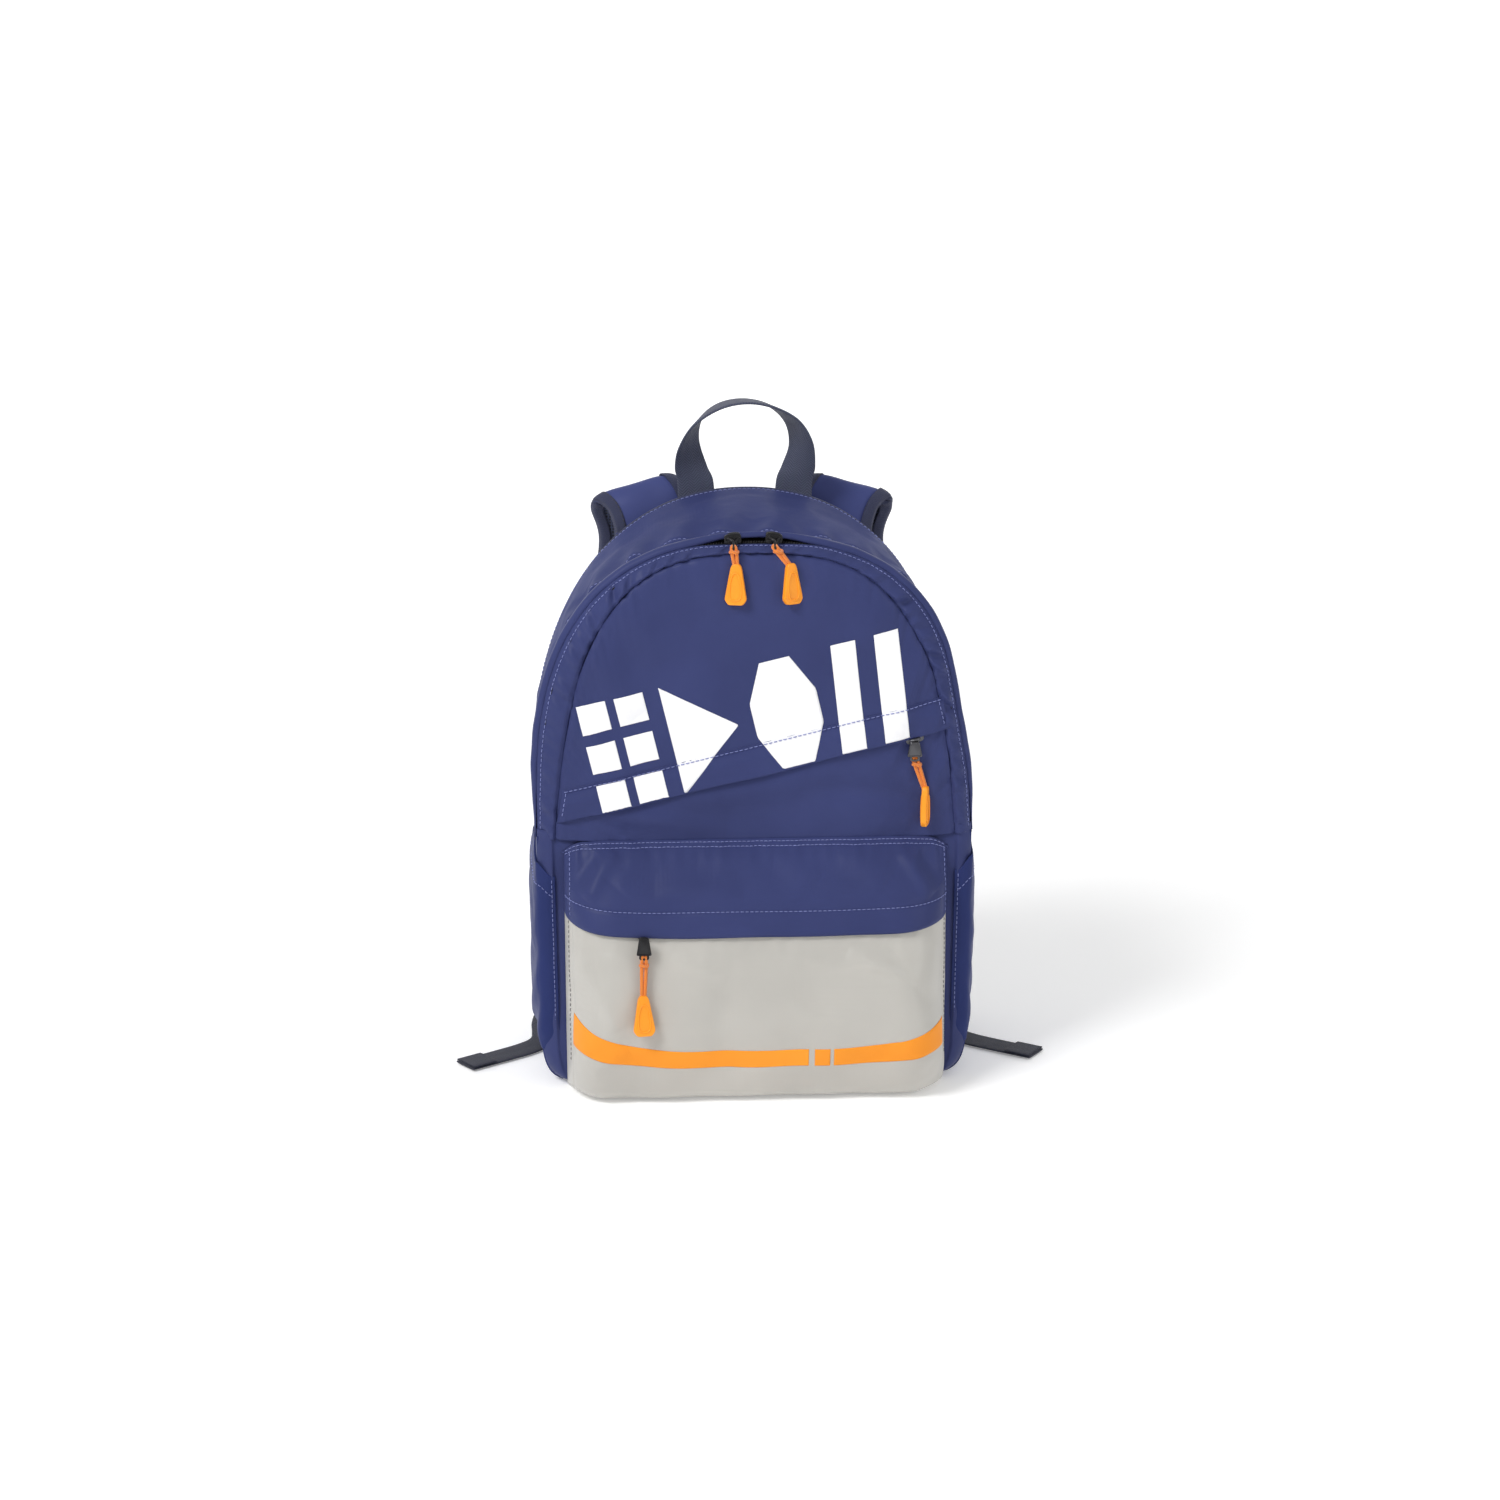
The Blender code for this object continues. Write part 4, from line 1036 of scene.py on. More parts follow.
def make_hidden_body():
    """The lower front behind the pocket, the base with its stiffener, and the lining on the back."""
    def lower_front(u, v):
        x = 149.2 * np.sin((u - 0.5) * math.pi)
        z = (FOLD_Z + 6) * (1 - v)
        low = np.interp(-np.abs(x), SIDE_LINE[:, 0], SIDE_LINE[:, 1])
        z = np.maximum(z, np.where(np.abs(x) > 122, low, 0.4))
        body = -np.interp(z, SIDE_LINE[::-1, 1], SIDE_LINE[::-1, 0])
        past = np.clip((body - 0.4 - np.abs(x)) / 12.5, 0, 1)
        y = -56.0 - 8.6 * np.sin(past * math.pi / 2) ** 0.75 + 1.8 * rise(past, 0.8, 1.0)
        y += np.where(past < 1, ripples(z, 74, 34, 0.5) * np.sin(math.pi * past), 0.0)
        y = y - np.where(past < 1, 0.0, 0.9 * (1 - np.exp(-np.maximum(136.7 - np.abs(x), 0) / 10)))
        y += 1.4 * rise(z, 170, 176) - 4.0 * past * rise(-z, -60, -8)
        return stacked(x, y, z)

    front = Patch(lower_front, -1).piece("lower_front_cloth", 301, 90, "navy_fabric", 1.1)
    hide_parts("lower_front_panel")

    def base(u, v):
        x, y = -118.0 + 236.0 * u, -60.0 + 116.0 * v
        sag = 0.5 + 0.5 * np.sin(math.pi * u) * np.sin(math.pi * v) + ripples(x + y, 71, 50, 0.15)
        return stacked(x, y, sag)

    floor_cloth = Patch(base, -1).piece("base_cloth", 90, 50, "navy_side", 1.2)
    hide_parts("base_panel")

    def inside_base(u, v):
        x, y = -114.0 + 228.0 * u, -56.0 + 108.0 * v
        return stacked(x, y, 3.6 + ripples(x, 72, 60, 0.2))

    insert = Patch(inside_base, 1).piece("base_insert", 60, 30, "board", 1.5)
    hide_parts("base_board")

    def lining(u, v):
        back = on_path(BACK_EDGE, u)
        inner = stacked(back[..., 0] * 0.9, 6.0)
        spot = back * np.array([0.975, 0.98]) * (1 - v)[..., None] + inner * v[..., None]
        y = 55.2 - 1.5 * np.sin(math.pi * v) + ripples(spot[..., 0] + spot[..., 1], 73, 70, 0.5)
        return stacked(spot[..., 0], y, spot[..., 1])

    back = Patch(lining, -1).piece("back_lining", 200, 60, "board", 1.0)
    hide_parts("back_board")
    ride_all([front], "pack")
    ride_all([floor_cloth], "pack")
    ride_all([insert, back], "pack")


# The front pocket: a navy flap over a zip, and the grey pouch under it.

FLAT_HALF, CORNER = 92.0, 39.0
FLAP_RUN = resampled(smooth_path([(0.2, 174.6), (1.6, 176.0), (3.6, 175.2), (6.2, 172.2), (13, 165.5),
                                  (22, 154), (31, 143), (37.5, 131), (41.5, 121), (42.6, 117.6)], 16), 300)
POUCH_RUN = resampled(smooth_path([(39.3, 121.5), (40.2, 116), (42.4, 109), (45.6, 100), (50, 80), (52.2, 58),
                                   (51.5, 38), (49, 22), (44, 9), (36, 2.2), (24, 0.9), (1, 0.8)], 16), 400)
SIDE_SEAM_X = 126.0


def plan_depth(x, squareness=2.2):
    """How far forward the pocket's outline stands at x, as a share of its full depth."""
    past = np.clip((np.abs(x) - FLAT_HALF) / CORNER, 0, 1)
    return 0.012 + 0.988 * np.sqrt(1 - past ** squareness)


PLAN_X = POCKET_HALF * np.sin(np.linspace(-math.pi / 2, math.pi / 2, 2001))
PLAN = resampled(np.stack([PLAN_X, 50.0 * plan_depth(PLAN_X)], axis=1), 1201)
PLAN_LENGTH = path_lengths(PLAN)[-1]


def plan_u(x):
    """The pocket's u at x."""
    return np.interp(x, PLAN[:, 0], np.linspace(0, 1, len(PLAN)))


def pocket_point(u, depth, z):
    x = on_path(PLAN, u)[..., 0]
    share = plan_depth(x, 2.2 + 3.0 * (1 - rise(z, 5, 80)))
    return stacked(x, POCKET_BACK - depth * share, z)


def side_lift(x, left, right):
    return np.where(x < 0, left, right) * (np.abs(x) / POCKET_HALF) ** 5


FLAP_FOLDS = (((-98, 172), (-118, 142), 6.0, 1.6), ((-110, 170), (-125, 146), 5.0, -1.2),
              ((-78, 173), (-96, 150), 9, 0.9), ((100, 170), (119, 140), 6.0, 1.6),
              ((112, 168), (126, 146), 5.0, -1.2), ((60, 172), (88, 150), 10, 0.8),
              ((-40, 168), (10, 160), 8, 0.6), ((10, 172), (40, 150), 9, 0.6),
              ((-70, 150), (-10, 144), 7, 0.5))
POUCH_FOLDS = (((60, 108), (112, 84), 6, 1.6), ((84, 112), (118, 66), 5, -1.2),
               ((30, 100), (96, 96), 5, 0.9), ((-118, 98), (-96, 56), 6, 1.2),
               ((-60, 104), (-20, 92), 6, 0.7), ((-116, 26), (-90, 44), 6, 1.0),
               ((118, 24), (92, 46), 6, 1.1), ((-20, 24), (40, 20), 6, 0.6))


def flap_surface(u, v):
    run = on_path(FLAP_RUN, v)
    x = on_path(PLAN, u)[..., 0]
    along, down = u * PLAN_LENGTH, v * path_lengths(FLAP_RUN)[-1]
    z = run[..., 1] + side_lift(x, 8.0, 5.5) * rise(v, 0.2, 1.0) - 1.5 * rise(np.abs(x), 98, 131) * (1 - v)
    z -= 6.5 * np.clip((np.abs(x) - 118) / 13, 0, 1) ** 2 * (1 - v) ** 3
    depth = run[..., 0] + 1.5 * np.sin(math.pi * v)
    for start, end, width, height in FLAP_FOLDS:
        depth = depth + crease(x, z, start, end, width, 2.6 * height)
    depth += seam_groove(down - 5.5, 1.0, 0.5) + seam_groove(down - 9.0, 1.0, 0.4)
    depth += np.exp(-((down - 12) / 9) ** 2) * ripples(along, 81, 15, 0.7)
    depth += seam_groove(down - 57, 1.3, 0.7) + rise(down, 57, 72) * (1.1 + ripples(along, 82, 60, 0.5))
    depth += rise(v, 0.97, 1.0) * -1.4
    return pocket_point(u, depth, z + rise(v, 0.8, 1) * ripples(along, 83, 80, 0.5))


def pouch_surface(u, v):
    run = on_path(POUCH_RUN, v)
    x = on_path(PLAN, u)[..., 0]
    along = u * PLAN_LENGTH
    z = run[..., 1] + side_lift(x, 7.0, 4.0) * (1 - v) ** 1.5
    low = rise(v, 0.5, 0.8)
    boxed = rise(np.abs(x), 104, 129) * low
    z = z + 3.5 * boxed * rise(v, 0.55, 0.72) * (1 - rise(v, 0.78, 1.0))
    depth = run[..., 0] * (1 - 0.12 * boxed)
    for start, end, width, height in POUCH_FOLDS:
        depth = depth + crease(x, z, start, end, width, 1.5 * height)
    for seam in (-SIDE_SEAM_X, SIDE_SEAM_X):
        depth += seam_groove((u - plan_u(seam)) * PLAN_LENGTH, 1.6, 1.3) * (v < 0.85)
    depth += ripples(along + 40 * v, 91, 60, 0.8) * np.sin(math.pi * v)
    depth += np.exp(-v * 14) * ripples(along, 92, 18, 0.5)
    return pocket_point(u, depth, z)


def make_pocket():
    flap = Patch(flap_surface, -1)
    flap.settle(110, 26, pressure=0.5, grow=0.005, cap=1.2, free_u=(0.01, 0.99), free_v=(0.12, 0.9))
    cloth = flap.piece("pocket_flap_cloth", 451, 90, "navy_fabric", 1.3)
    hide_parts("front_pocket_flap")
    run = path_lengths(FLAP_RUN)[-1]
    u = np.linspace(0.03, 0.97, 1200)
    rows = [stitch_row(f"flap_stitches_{name}", flap, u, down / run, "thread", pitch, sink=-0.2)
            for name, down, pitch in (("top", 5.5, 3.0), ("second", 9.0, 3.0), ("hem", 57.0, 3.3))]
    for side, x in (("left", -SIDE_SEAM_X - 1), ("right", SIDE_SEAM_X + 3)):
        down = np.linspace(0.12, 0.98, 400)
        rows.append(stitch_row(f"flap_side_stitches_{side}", flap, float(plan_u(x)), down))
    pouch = Patch(pouch_surface, -1)
    pouch.settle(110, 44, pressure=0.7, grow=0.006, cap=1.5, free_u=(0.01, 0.99), free_v=(0.1, 0.7))
    grey = pouch.piece("grey_pouch_cloth", 451, 150, "grey_reflective", 1.3)
    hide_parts("front_pocket_shell")
    for side, x in (("left", -SIDE_SEAM_X - 2.2), ("right", SIDE_SEAM_X + 2.2)):
        down = np.linspace(0.02, 0.62, 500)
        rows.append(stitch_row(f"pouch_side_stitches_{side}", pouch, float(plan_u(x)), down, "grey_thread"))
    make_orange_band(pouch)
    ride_all([cloth], "pack")
    ride_all([grey], "pack")
    ride_all(rows, "pack")
    make_pocket_zip()


BAND_LOW, BAND_HIGH = 28.5, 40.8
BAND_PARTS = (("left", -126.0, 33.0), ("block", 37.0, 47.5), ("right", 50.0, 126.0))


def make_orange_band(pouch):
    """The printed band: it climbs and widens towards both ends, with a gap on each side of a short block."""
    samples = np.linspace(0, 0.8, 600)
    for name, start, end in BAND_PARTS:
        us = np.linspace(float(plan_u(start)), float(plan_u(end)), max(12, int((end - start) * 1.2)))
        columns = []
        for u in us:
            points = pouch.at(np.full(600, u), samples)
            x = points[0, 0]
            climb = (abs(x) / 125) ** 4 * (1.5 if x < 0 else 1.0)
            high = float(np.interp(-(BAND_HIGH + 13.5 * climb), -points[:, 2], samples))
            low = float(np.interp(-(BAND_LOW + 8.0 * climb), -points[:, 2], samples))
            columns.append(np.linspace(high, low, 14))
        vs = np.array(columns).T
        grid = pouch.at(np.broadcast_to(us, vs.shape), vs, 0.22)
        band = thicken(grid_piece(f"orange_band_{name}", grid, "orange_print"), 0.2)
        ride_all([band], "pack")


def make_pocket_zip():
    """The zip in the slot between hem and pouch, and the tapes above and below its coils."""
    u = np.linspace(float(plan_u(-125)), float(plan_u(125)), 500)
    x = on_path(PLAN, u)[:, 0]
    line = 122.5 + side_lift(x, 7.5, 5.0)
    for name, shift, node in (("upper", 1.0, "pocket_zip_upper"), ("lower", -1.0, "pocket_zip_lower")):
        coil = pocket_point(u, 37.4, line + shift)
        piece = joined(f"pocket_coil_{name}", [tube(helix(coil, 0.85, 1.9), 0.34, 5)], "zip_coil")
        ride_all([piece], "pack")
        edge = np.linspace(0.3, 5.0, 5)[:, None] * (1 if shift > 0 else -1)
        back = 36.6 - np.linspace(0, 2, 5)[:, None]
        grid = pocket_point(np.broadcast_to(u, (5, len(u))), back, line + edge)
        tape = thicken(grid_piece(f"pocket_zip_tape_{name}", grid, "zip_tape"), 0.6)
        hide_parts(node)
        ride_all([tape], "pack")


# Sliders, pullers, cords and tags.

def rounded_outline(corners, radius):
    """A closed outline with its corners rounded in five points each, turning left."""
    corners = [np.array(c, float) for c in corners]
    points = []
    for before, corner, after in zip(corners[-1:] + corners[:-1], corners, corners[1:] + corners[:1]):
        reach = min(radius, np.linalg.norm(before - corner) / 2.2, np.linalg.norm(after - corner) / 2.2)
        start = corner + (before - corner) / np.linalg.norm(before - corner) * reach
        end = corner + (after - corner) / np.linalg.norm(after - corner) * reach
        for t in np.linspace(0, 1, 5):
            points.append((1 - t) ** 2 * start + 2 * t * (1 - t) * corner + t * t * end)
    return np.array(points)


def slider_parts(width, length, thick):
    """A zip slider flat in x and y, its wide end up: two plates, the post between them, and a domed crown."""
    half = width / 2
    foot, head, shoulder = -length / 2, length / 2, length * 0.12
    plan = rounded_outline([(-half * 0.72, foot), (half * 0.72, foot), (half, shoulder), (half * 0.82, head),
                            (-half * 0.82, head), (-half, shoulder)], 2.0)
    crown = rounded_outline([(-half * 0.5, -length * 0.36), (half * 0.5, -length * 0.36),
                             (half * 0.55, length * 0.36), (-half * 0.55, length * 0.36)], 1.8)
    low, high = length * 0.1, length * 0.42
    post = rounded_outline([(-1, low), (1, low), (1, high), (-1, high)], 0.5)
    return [plate(plan, thick * 0.5, thick, 0.45), plate(plan, -thick, -thick * 0.5, 0.45),
            plate(post, -thick * 0.6, thick * 0.6, 0.2), plate(crown, thick * 0.9, thick * 1.35, 0.4)]


def bridge(width, length, rise_by):
    """The bail over a slider's crown, flat in x and y."""
    path = smooth_path([(0, -length / 2, 0), (0, -length * 0.42, rise_by * 0.7), (0, 0, rise_by),
                        (0, length * 0.42, rise_by * 0.7), (0, length / 2, 0)], 6)
    return [tube(path, width / 2, 8)]


TAG_WIDTH, TAG_LENGTH, TAG_THICK = 15.0, 26.0, 4.0


def tag_parts():
    """A moulded tag flat in x and y, hanging from its neck at y = 0, with a raised ring on each face."""
    half, foot = TAG_WIDTH / 2, -TAG_LENGTH
    body = rounded_outline([(-2.4, 1.6), (-half * 0.5, -1.0), (-half, foot * 0.86), (-half * 0.66, foot),
                            (half * 0.66, foot), (half, foot * 0.86), (half * 0.5, -1.0), (2.4, 1.6)], 1.6)
    turn = np.linspace(0, 2 * math.pi, 48, endpoint=False)
    x = (3.9 - 1.1 * np.sin(turn)) * np.sign(np.cos(turn)) * np.abs(np.cos(turn)) ** 0.75
    y = foot * 0.53 + 9.2 * np.sign(np.sin(turn)) * np.abs(np.sin(turn)) ** 0.75
    rings = [tube(stacked(x, y, face * TAG_THICK / 2), 0.65, 8, closed=True) for face in (1, -1)]
    return [plate(body, -TAG_THICK / 2, TAG_THICK / 2, 0.9, 4), *rings]


def loop_cord(top, neck, spread):
    """A cord doubled through a metal eye at top, with both ends in the tag's neck; returns its centreline."""
    top, neck = np.array(top, float), np.array(neck, float)
    side = np.array([spread, 0, 0])
    back = np.array([0, 1.6, 0])
    path = [neck - side * 0.8, neck * 0.7 + top * 0.3 - side, neck * 0.3 + top * 0.7 - side * 1.25,
            top - side * 1.1, top + back - side * 0.4 + (0, 0, 1.0), top + back + side * 0.4 + (0, 0, 1.0),
            top + side * 1.1, neck * 0.3 + top * 0.7 + side * 1.25, neck * 0.7 + top * 0.3 + side,
            neck + side * 0.8]
    return smooth_path(path, 8)


CORD_DIAMETER = 2.5
CORD_RADIUS = CORD_DIAMETER / 2


def make_pull(prefix, body, top, tag_top, turn, lean):
    """A tag on its doubled cord: top is where the cord goes through the metal, tag_top the tag's neck."""
    c, s = math.cos(turn), math.sin(turn)
    across = np.array([c, s, 0.0])
    up = np.array([0.0, math.sin(lean), math.cos(lean)])
    up -= across * np.dot(across, up)
    up /= np.linalg.norm(up)
    parts = [placed(p, tag_top, across, up) for p in tag_parts()]
    tag = joined(f"{prefix}_tag_moulded", parts, "orange_rubber")
    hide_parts(f"{prefix}_tag")
    neck = np.array(tag_top) - up * 1.2
    path = loop_cord(top, neck, 1.15)
    cord = joined(f"{prefix}_cord_braid", [tube(path, CORD_RADIUS, 9)], "orange_cord")
    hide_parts(f"{prefix}_cord")
    wrap_centre = np.array(top) * 0.8 + neck * 0.2
    turns = np.linspace(0, 2 * math.pi, 25, endpoint=False)
    ring = wrap_centre + np.stack([2.5 * np.cos(turns), 1.7 * np.sin(turns), 0.5 * np.sin(turns * 2)], axis=1)
    wrap = joined(f"{prefix}_cord_wrap", [tube(ring, CORD_RADIUS * 0.9, 8, closed=True)], "orange_cord")
    ride_all([tag], body)
    ride_all([cord, wrap], body)


MAIN_ARC_Z = 169.0


def node_middle(node):
    low, high = box_mm(node)
    return (low + high) / 2


def make_main_pulls():
    """The two sliders of the main zip, each with its swinging bail, cord and tag."""
    for side, turn, lean in (("left", math.radians(-14), 0.10), ("right", math.radians(30), 0.12)):
        middle = node_middle(f"{side}_main_slider")
        angle = math.atan2(middle[0], middle[2] - MAIN_ARC_Z)
        across = np.array([math.sin(angle), 0, math.cos(angle)])
        along = np.array([math.cos(angle), 0, -math.sin(angle)])
        wide = along if side == "left" else -along
        parts = [placed(p, middle + (0, -1.0, 0), -across if side == "left" else across, wide)
                 for p in slider_parts(8.6, 11.5, 2.6)]
        body = joined(f"{side}_slider_cast", parts, "black_metal")
        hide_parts(f"{side}_main_slider")
        ride_all([body], f"{side}_main_slider")
        tag_middle = node_middle(f"{side}_main_tag")
        cord_low, cord_high = box_mm(f"{side}_main_cord")
        top = np.array([tag_middle[0], (cord_low[1] + cord_high[1]) / 2, cord_high[2] - 1.0])
        loop = smooth_path([(middle[0] - along[0] * 4, middle[1] - 3.4, middle[2] - along[2] * 4),
                            (middle[0] - along[0] * 2.5, middle[1] - 7, middle[2] + 0.5),
                            (middle[0], middle[1] - 9.5, middle[2] - 0.8),
                            (top[0], top[1] - 0.8, top[2] - 0.2),
                            (middle[0] + along[0] * 0.6, top[1] + 2.8, top[2] - 1.0),
                            (middle[0] + along[0] * 2.5, middle[1] - 7, middle[2] - 0.5),
                            (middle[0] + along[0] * 4, middle[1] - 3.4, middle[2] + along[2] * 4)], 6)
        bail = joined(f"{side}_bail_cast", [tube(loop, 1.0, 8)], "black_metal")
        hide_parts(f"{side}_main_bail")
        ride_all([bail], f"{side}_main_bail")
        aside = 10.5 if side == "right" else 1.8
        tag_top = np.array([tag_middle[0] + aside, tag_middle[1], box_mm(f"{side}_main_tag")[1][2] + 2.0])
        make_pull(f"{side}_main", f"{side}_main_pull", top, tag_top, turn, lean)


def puller_parts(width, length):
    """A small cast puller flat in x and y: a plate wider at its foot, with a raised rim and an eye below."""
    half = width / 2
    foot = -length + 2.6
    body = rounded_outline([(-half, foot), (half, foot), (half * 0.6, 0), (-half * 0.6, 0)], 1.2)
    rim = np.column_stack([body * (0.86, 0.86) + (0, foot * 0.07), np.full(len(body), 1.0)])
    reach, low, high = half * 0.45, foot - 2.2, foot + 0.6
    eye = [(-reach, high, 0), (-reach, low, 0), (reach, low, 0), (reach, high, 0)]
    return [plate(body, -1.0, 1.0, 0.5), tube(rim, 0.4, 8, closed=True), tube(smooth_path(eye, 5), 0.8, 8)]


SMALL_PULLER = 10.4
PULLER_UP = (0, 0.08, 0.997)


def make_small_pulls():
    """The pocket's and the welt's sliders, pullers and tags."""
    for prefix, slot_name, slant, turn, aside, higher, lean in (
            ("pocket", "black_metal", 0.0, math.radians(8), -1.0, 4.5, 0.19),
            ("welt", "grey_metal", math.atan2(61.5, 260), math.radians(72), 7.5, 1.5, 0.02)):
        middle, high = node_middle(f"{prefix}_slider"), box_mm(f"{prefix}_slider")[1]
        along = np.array([math.cos(slant), 0, math.sin(slant)])
        across = np.array([-math.sin(slant), 0, math.cos(slant)])
        spot = (middle[0], high[1] + 0.5, middle[2] + 4.0)
        parts = [placed(p, spot, across, -along) for p in slider_parts(SMALL_PULLER * 0.75, 12.5, 2.4)]
        spot = (middle[0], high[1] - 2.6, middle[2] + 3.5)
        parts += [placed(p, spot, across, -along) for p in bridge(1.6, 6.5, 2.4)]
        body = joined(f"{prefix}_slider_cast", parts, slot_name)
        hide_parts(f"{prefix}_slider")
        ride_all([body], f"{prefix}_slider")
        pull_middle = node_middle(f"{prefix}_puller")
        pull_low, pull_high = box_mm(f"{prefix}_puller")
        foot, head = pull_low[2] + higher, pull_high[2] + higher
        spot = (pull_middle[0], pull_middle[1], head)
        parts = [placed(p, spot, (1.0, 0, 0), PULLER_UP) for p in puller_parts(SMALL_PULLER, head - foot)]
        puller = joined(f"{prefix}_puller_cast", parts, slot_name)
        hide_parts(f"{prefix}_puller")
        ride_all([puller], f"{prefix}_puller")
        cord_y = box_mm(f"{prefix}_cord")[0][1]
        tag_middle, tag_high = node_middle(f"{prefix}_tag"), box_mm(f"{prefix}_tag")[1]
        top = np.array([tag_middle[0], pull_low[1] + 1.2, foot + 1.6])
        tag_top = np.array([tag_middle[0] + aside, (tag_middle[1] + cord_y) / 2 + 0.6, tag_high[2] - 1.6])
        make_pull(prefix, f"{prefix}_pull", top, tag_top, turn, lean)


# Webbing: the handle, the lower straps and their tails.

def ribbon_frames(stations, count):
    """Centres, half-width vectors and normals along a band given as x, y, z and its width vector."""
    path = resampled(smooth_path(stations), count)
    centre, half = path[:, :3], path[:, 3:6] / 2
    tangent = np.gradient(centre, axis=0)
    normal = np.cross(tangent, half)
    return centre, half, normal / np.linalg.norm(normal, axis=1, keepdims=True)


def band(name, stations, thickness, slot, count, sides=20):
    """Flat webbing with soft edges along its stations."""
    centre, half, normal = ribbon_frames(stations, count)
    turn = np.arange(sides) * 2 * math.pi / sides
    across = np.sign(np.cos(turn)) * np.abs(np.cos(turn)) ** 0.35
    over = np.sign(np.sin(turn)) * np.abs(np.sin(turn)) ** 0.6 * thickness / 2
    points = (centre[:, None] + half[:, None] * across[None, :, None] + normal[:, None] * over[None, :, None])
    obj = grid_piece(name, points, slot, ring=True, flip=True)
    mesh = bmesh.new()
    mesh.from_mesh(obj.data)
    mesh.faces.ensure_lookup_table()
    bmesh.ops.holes_fill(mesh, edges=[e for e in mesh.edges if e.is_boundary], sides=0)
    bmesh.ops.recalc_face_normals(mesh, faces=mesh.faces[:])
    mesh.to_mesh(obj.data)
    mesh.free()
    return obj


HANDLE_HALF = [(-34, 60, 384, 26, 2, 0), (-35.0, 60, 403, 25.5, 3, 0), (-38, 60, 412.9, 23, 9, 0),
               (-39.5, 60, 429, 15, 20, 4), (-33, 60, 444.5, 8, 23, 4), (-18, 60, 455, 2, 24.5, 1.5)]
HANDLE_STATIONS = (HANDLE_HALF + [(0, 60, 458.5, 0, 25, 0)]
                   + [(-x, y, z, -a, b, -c) for x, y, z, a, b, c in reversed(HANDLE_HALF)])


def make_handle():
    handle = band("handle_band", HANDLE_STATIONS, 2.2, "handle_webbing", 140, 24)
    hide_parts("grab_handle")
    ride_all([handle], "handle")


STRAP_STATIONS = ((-62, 74, 346, 56, 0, 0), (-63, 75, 370, 57, 0, 4), (-69, 80, 388, 56, 0, 12),
                  (-78, 91, 396, 57, 0, 16), (-80, 103, 386, 56, 0, 14), (-75, 110, 355, 54, 0, 6),
                  (-82, 110, 300, 58, 0, 0), (-92, 104, 240, 58, 0, 0), (-99, 97, 185, 54, 0, 0),
                  (-99, 92, 146, 42, 0, 0))
LOWER_STATIONS = ((-120, 74.5, 12, 20, 0, 9), (-119, 75.5, 30, 21, 0, 6), (-110, 80, 70, 22, 0, 5),
                  (-101, 82, 110, 22, 0, 2), (-99, 83, 121, 22, 0, 0), (-99, 86, 126, 22, 0, 0))
TAIL_STATIONS = ((-99, 92, 126, 22, 0, 0), (-99, 93.5, 116, 22, 0, 0), (-106, 93, 85, 22, 0, 3),
                 (-122, 93, 45, 21, 1, 6), (-136, 91, 14, 21, 0, 4), (-142, 85, 3.5, 22, -1, 1),
                 (-145, 76, 1.9, 22, -1, 0), (-146.5, 58, 1.8, 22, -1, 0), (-146.5, 38, 1.8, 21, -4, 0),
                 (-149.5, 20, 1.8, 17, -12, 0), (-160, 6, 1.8, 13, -18, 0), (-176, -7, 1.8, 13, -18, 0),
                 (-203, -27, 1.8, 13, -18, 0))
PAD_THICK = 9.0


KEEPER_LOOP = ((92.5, 158), (91.5, 146), (90.6, 141), (87.5, 136.6), (84.6, 141), (84.2, 156))
LOCK_X, KEEPER_WIDTH = 99, 24


def on_side(side, stations):
    """Stations as given for the left side, or mirrored for the right one."""
    if side == "left":
        return stations
    return [(-x, y, z, a, -b, -c) for x, y, z, a, b, c in stations]


def strap_patches(stations):
    """The outer and the inner face of a padded strap, as patches along it (u) and across it (v)."""
    path = resampled(smooth_path(stations, 16), 500)
    centre, half = path[:, :3], path[:, 3:6] / 2
    tangent = np.gradient(centre, axis=0)
    normal = np.cross(half, tangent)
    normal /= np.linalg.norm(normal, axis=1, keepdims=True)
    outward = 1 if normal[350][1] > 0 else -1
    normal *= outward
    middle = centre - normal * PAD_THICK / 2
    frames = np.concatenate([middle, half, normal], axis=1)
    length = path_lengths(centre)[-1]

    def face(side):
        def surface(u, v):
            frame_at = on_path(frames, u)
            across = 2 * v - 1
            end = np.minimum(u, 1 - u) * length
            tip = np.sqrt(1 - (1 - np.clip(end / 9, 0, 1)) ** 2)
            thick = PAD_THICK / 2 * (1 - np.abs(across) ** 4) ** 0.6 * (0.35 + 0.65 * tip)
            thick = thick + 0.9
            wobble = ripples(u * length + 14 * across, 101 + side, 60, 0.4) * (1 - across ** 2)
            wobble += ripples(u * length, 104 + side, 20, 0.18) * np.exp(-((1 - np.abs(across)) / 0.25) ** 2)
            width = across * (0.92 + 0.08 * tip)
            return (frame_at[..., :3] + frame_at[..., 3:6] * width[..., None]
                    + frame_at[..., 6:9] * (side * (thick + wobble * (np.abs(across) < 0.995)))[..., None])
        return surface

    probe = Patch(face(1), 1)
    sign = 1 if np.dot(probe.normal(np.array(0.6), np.array(0.5)), normal[300]) > 0 else -1
    return Patch(face(1), sign), Patch(face(-1), -sign)


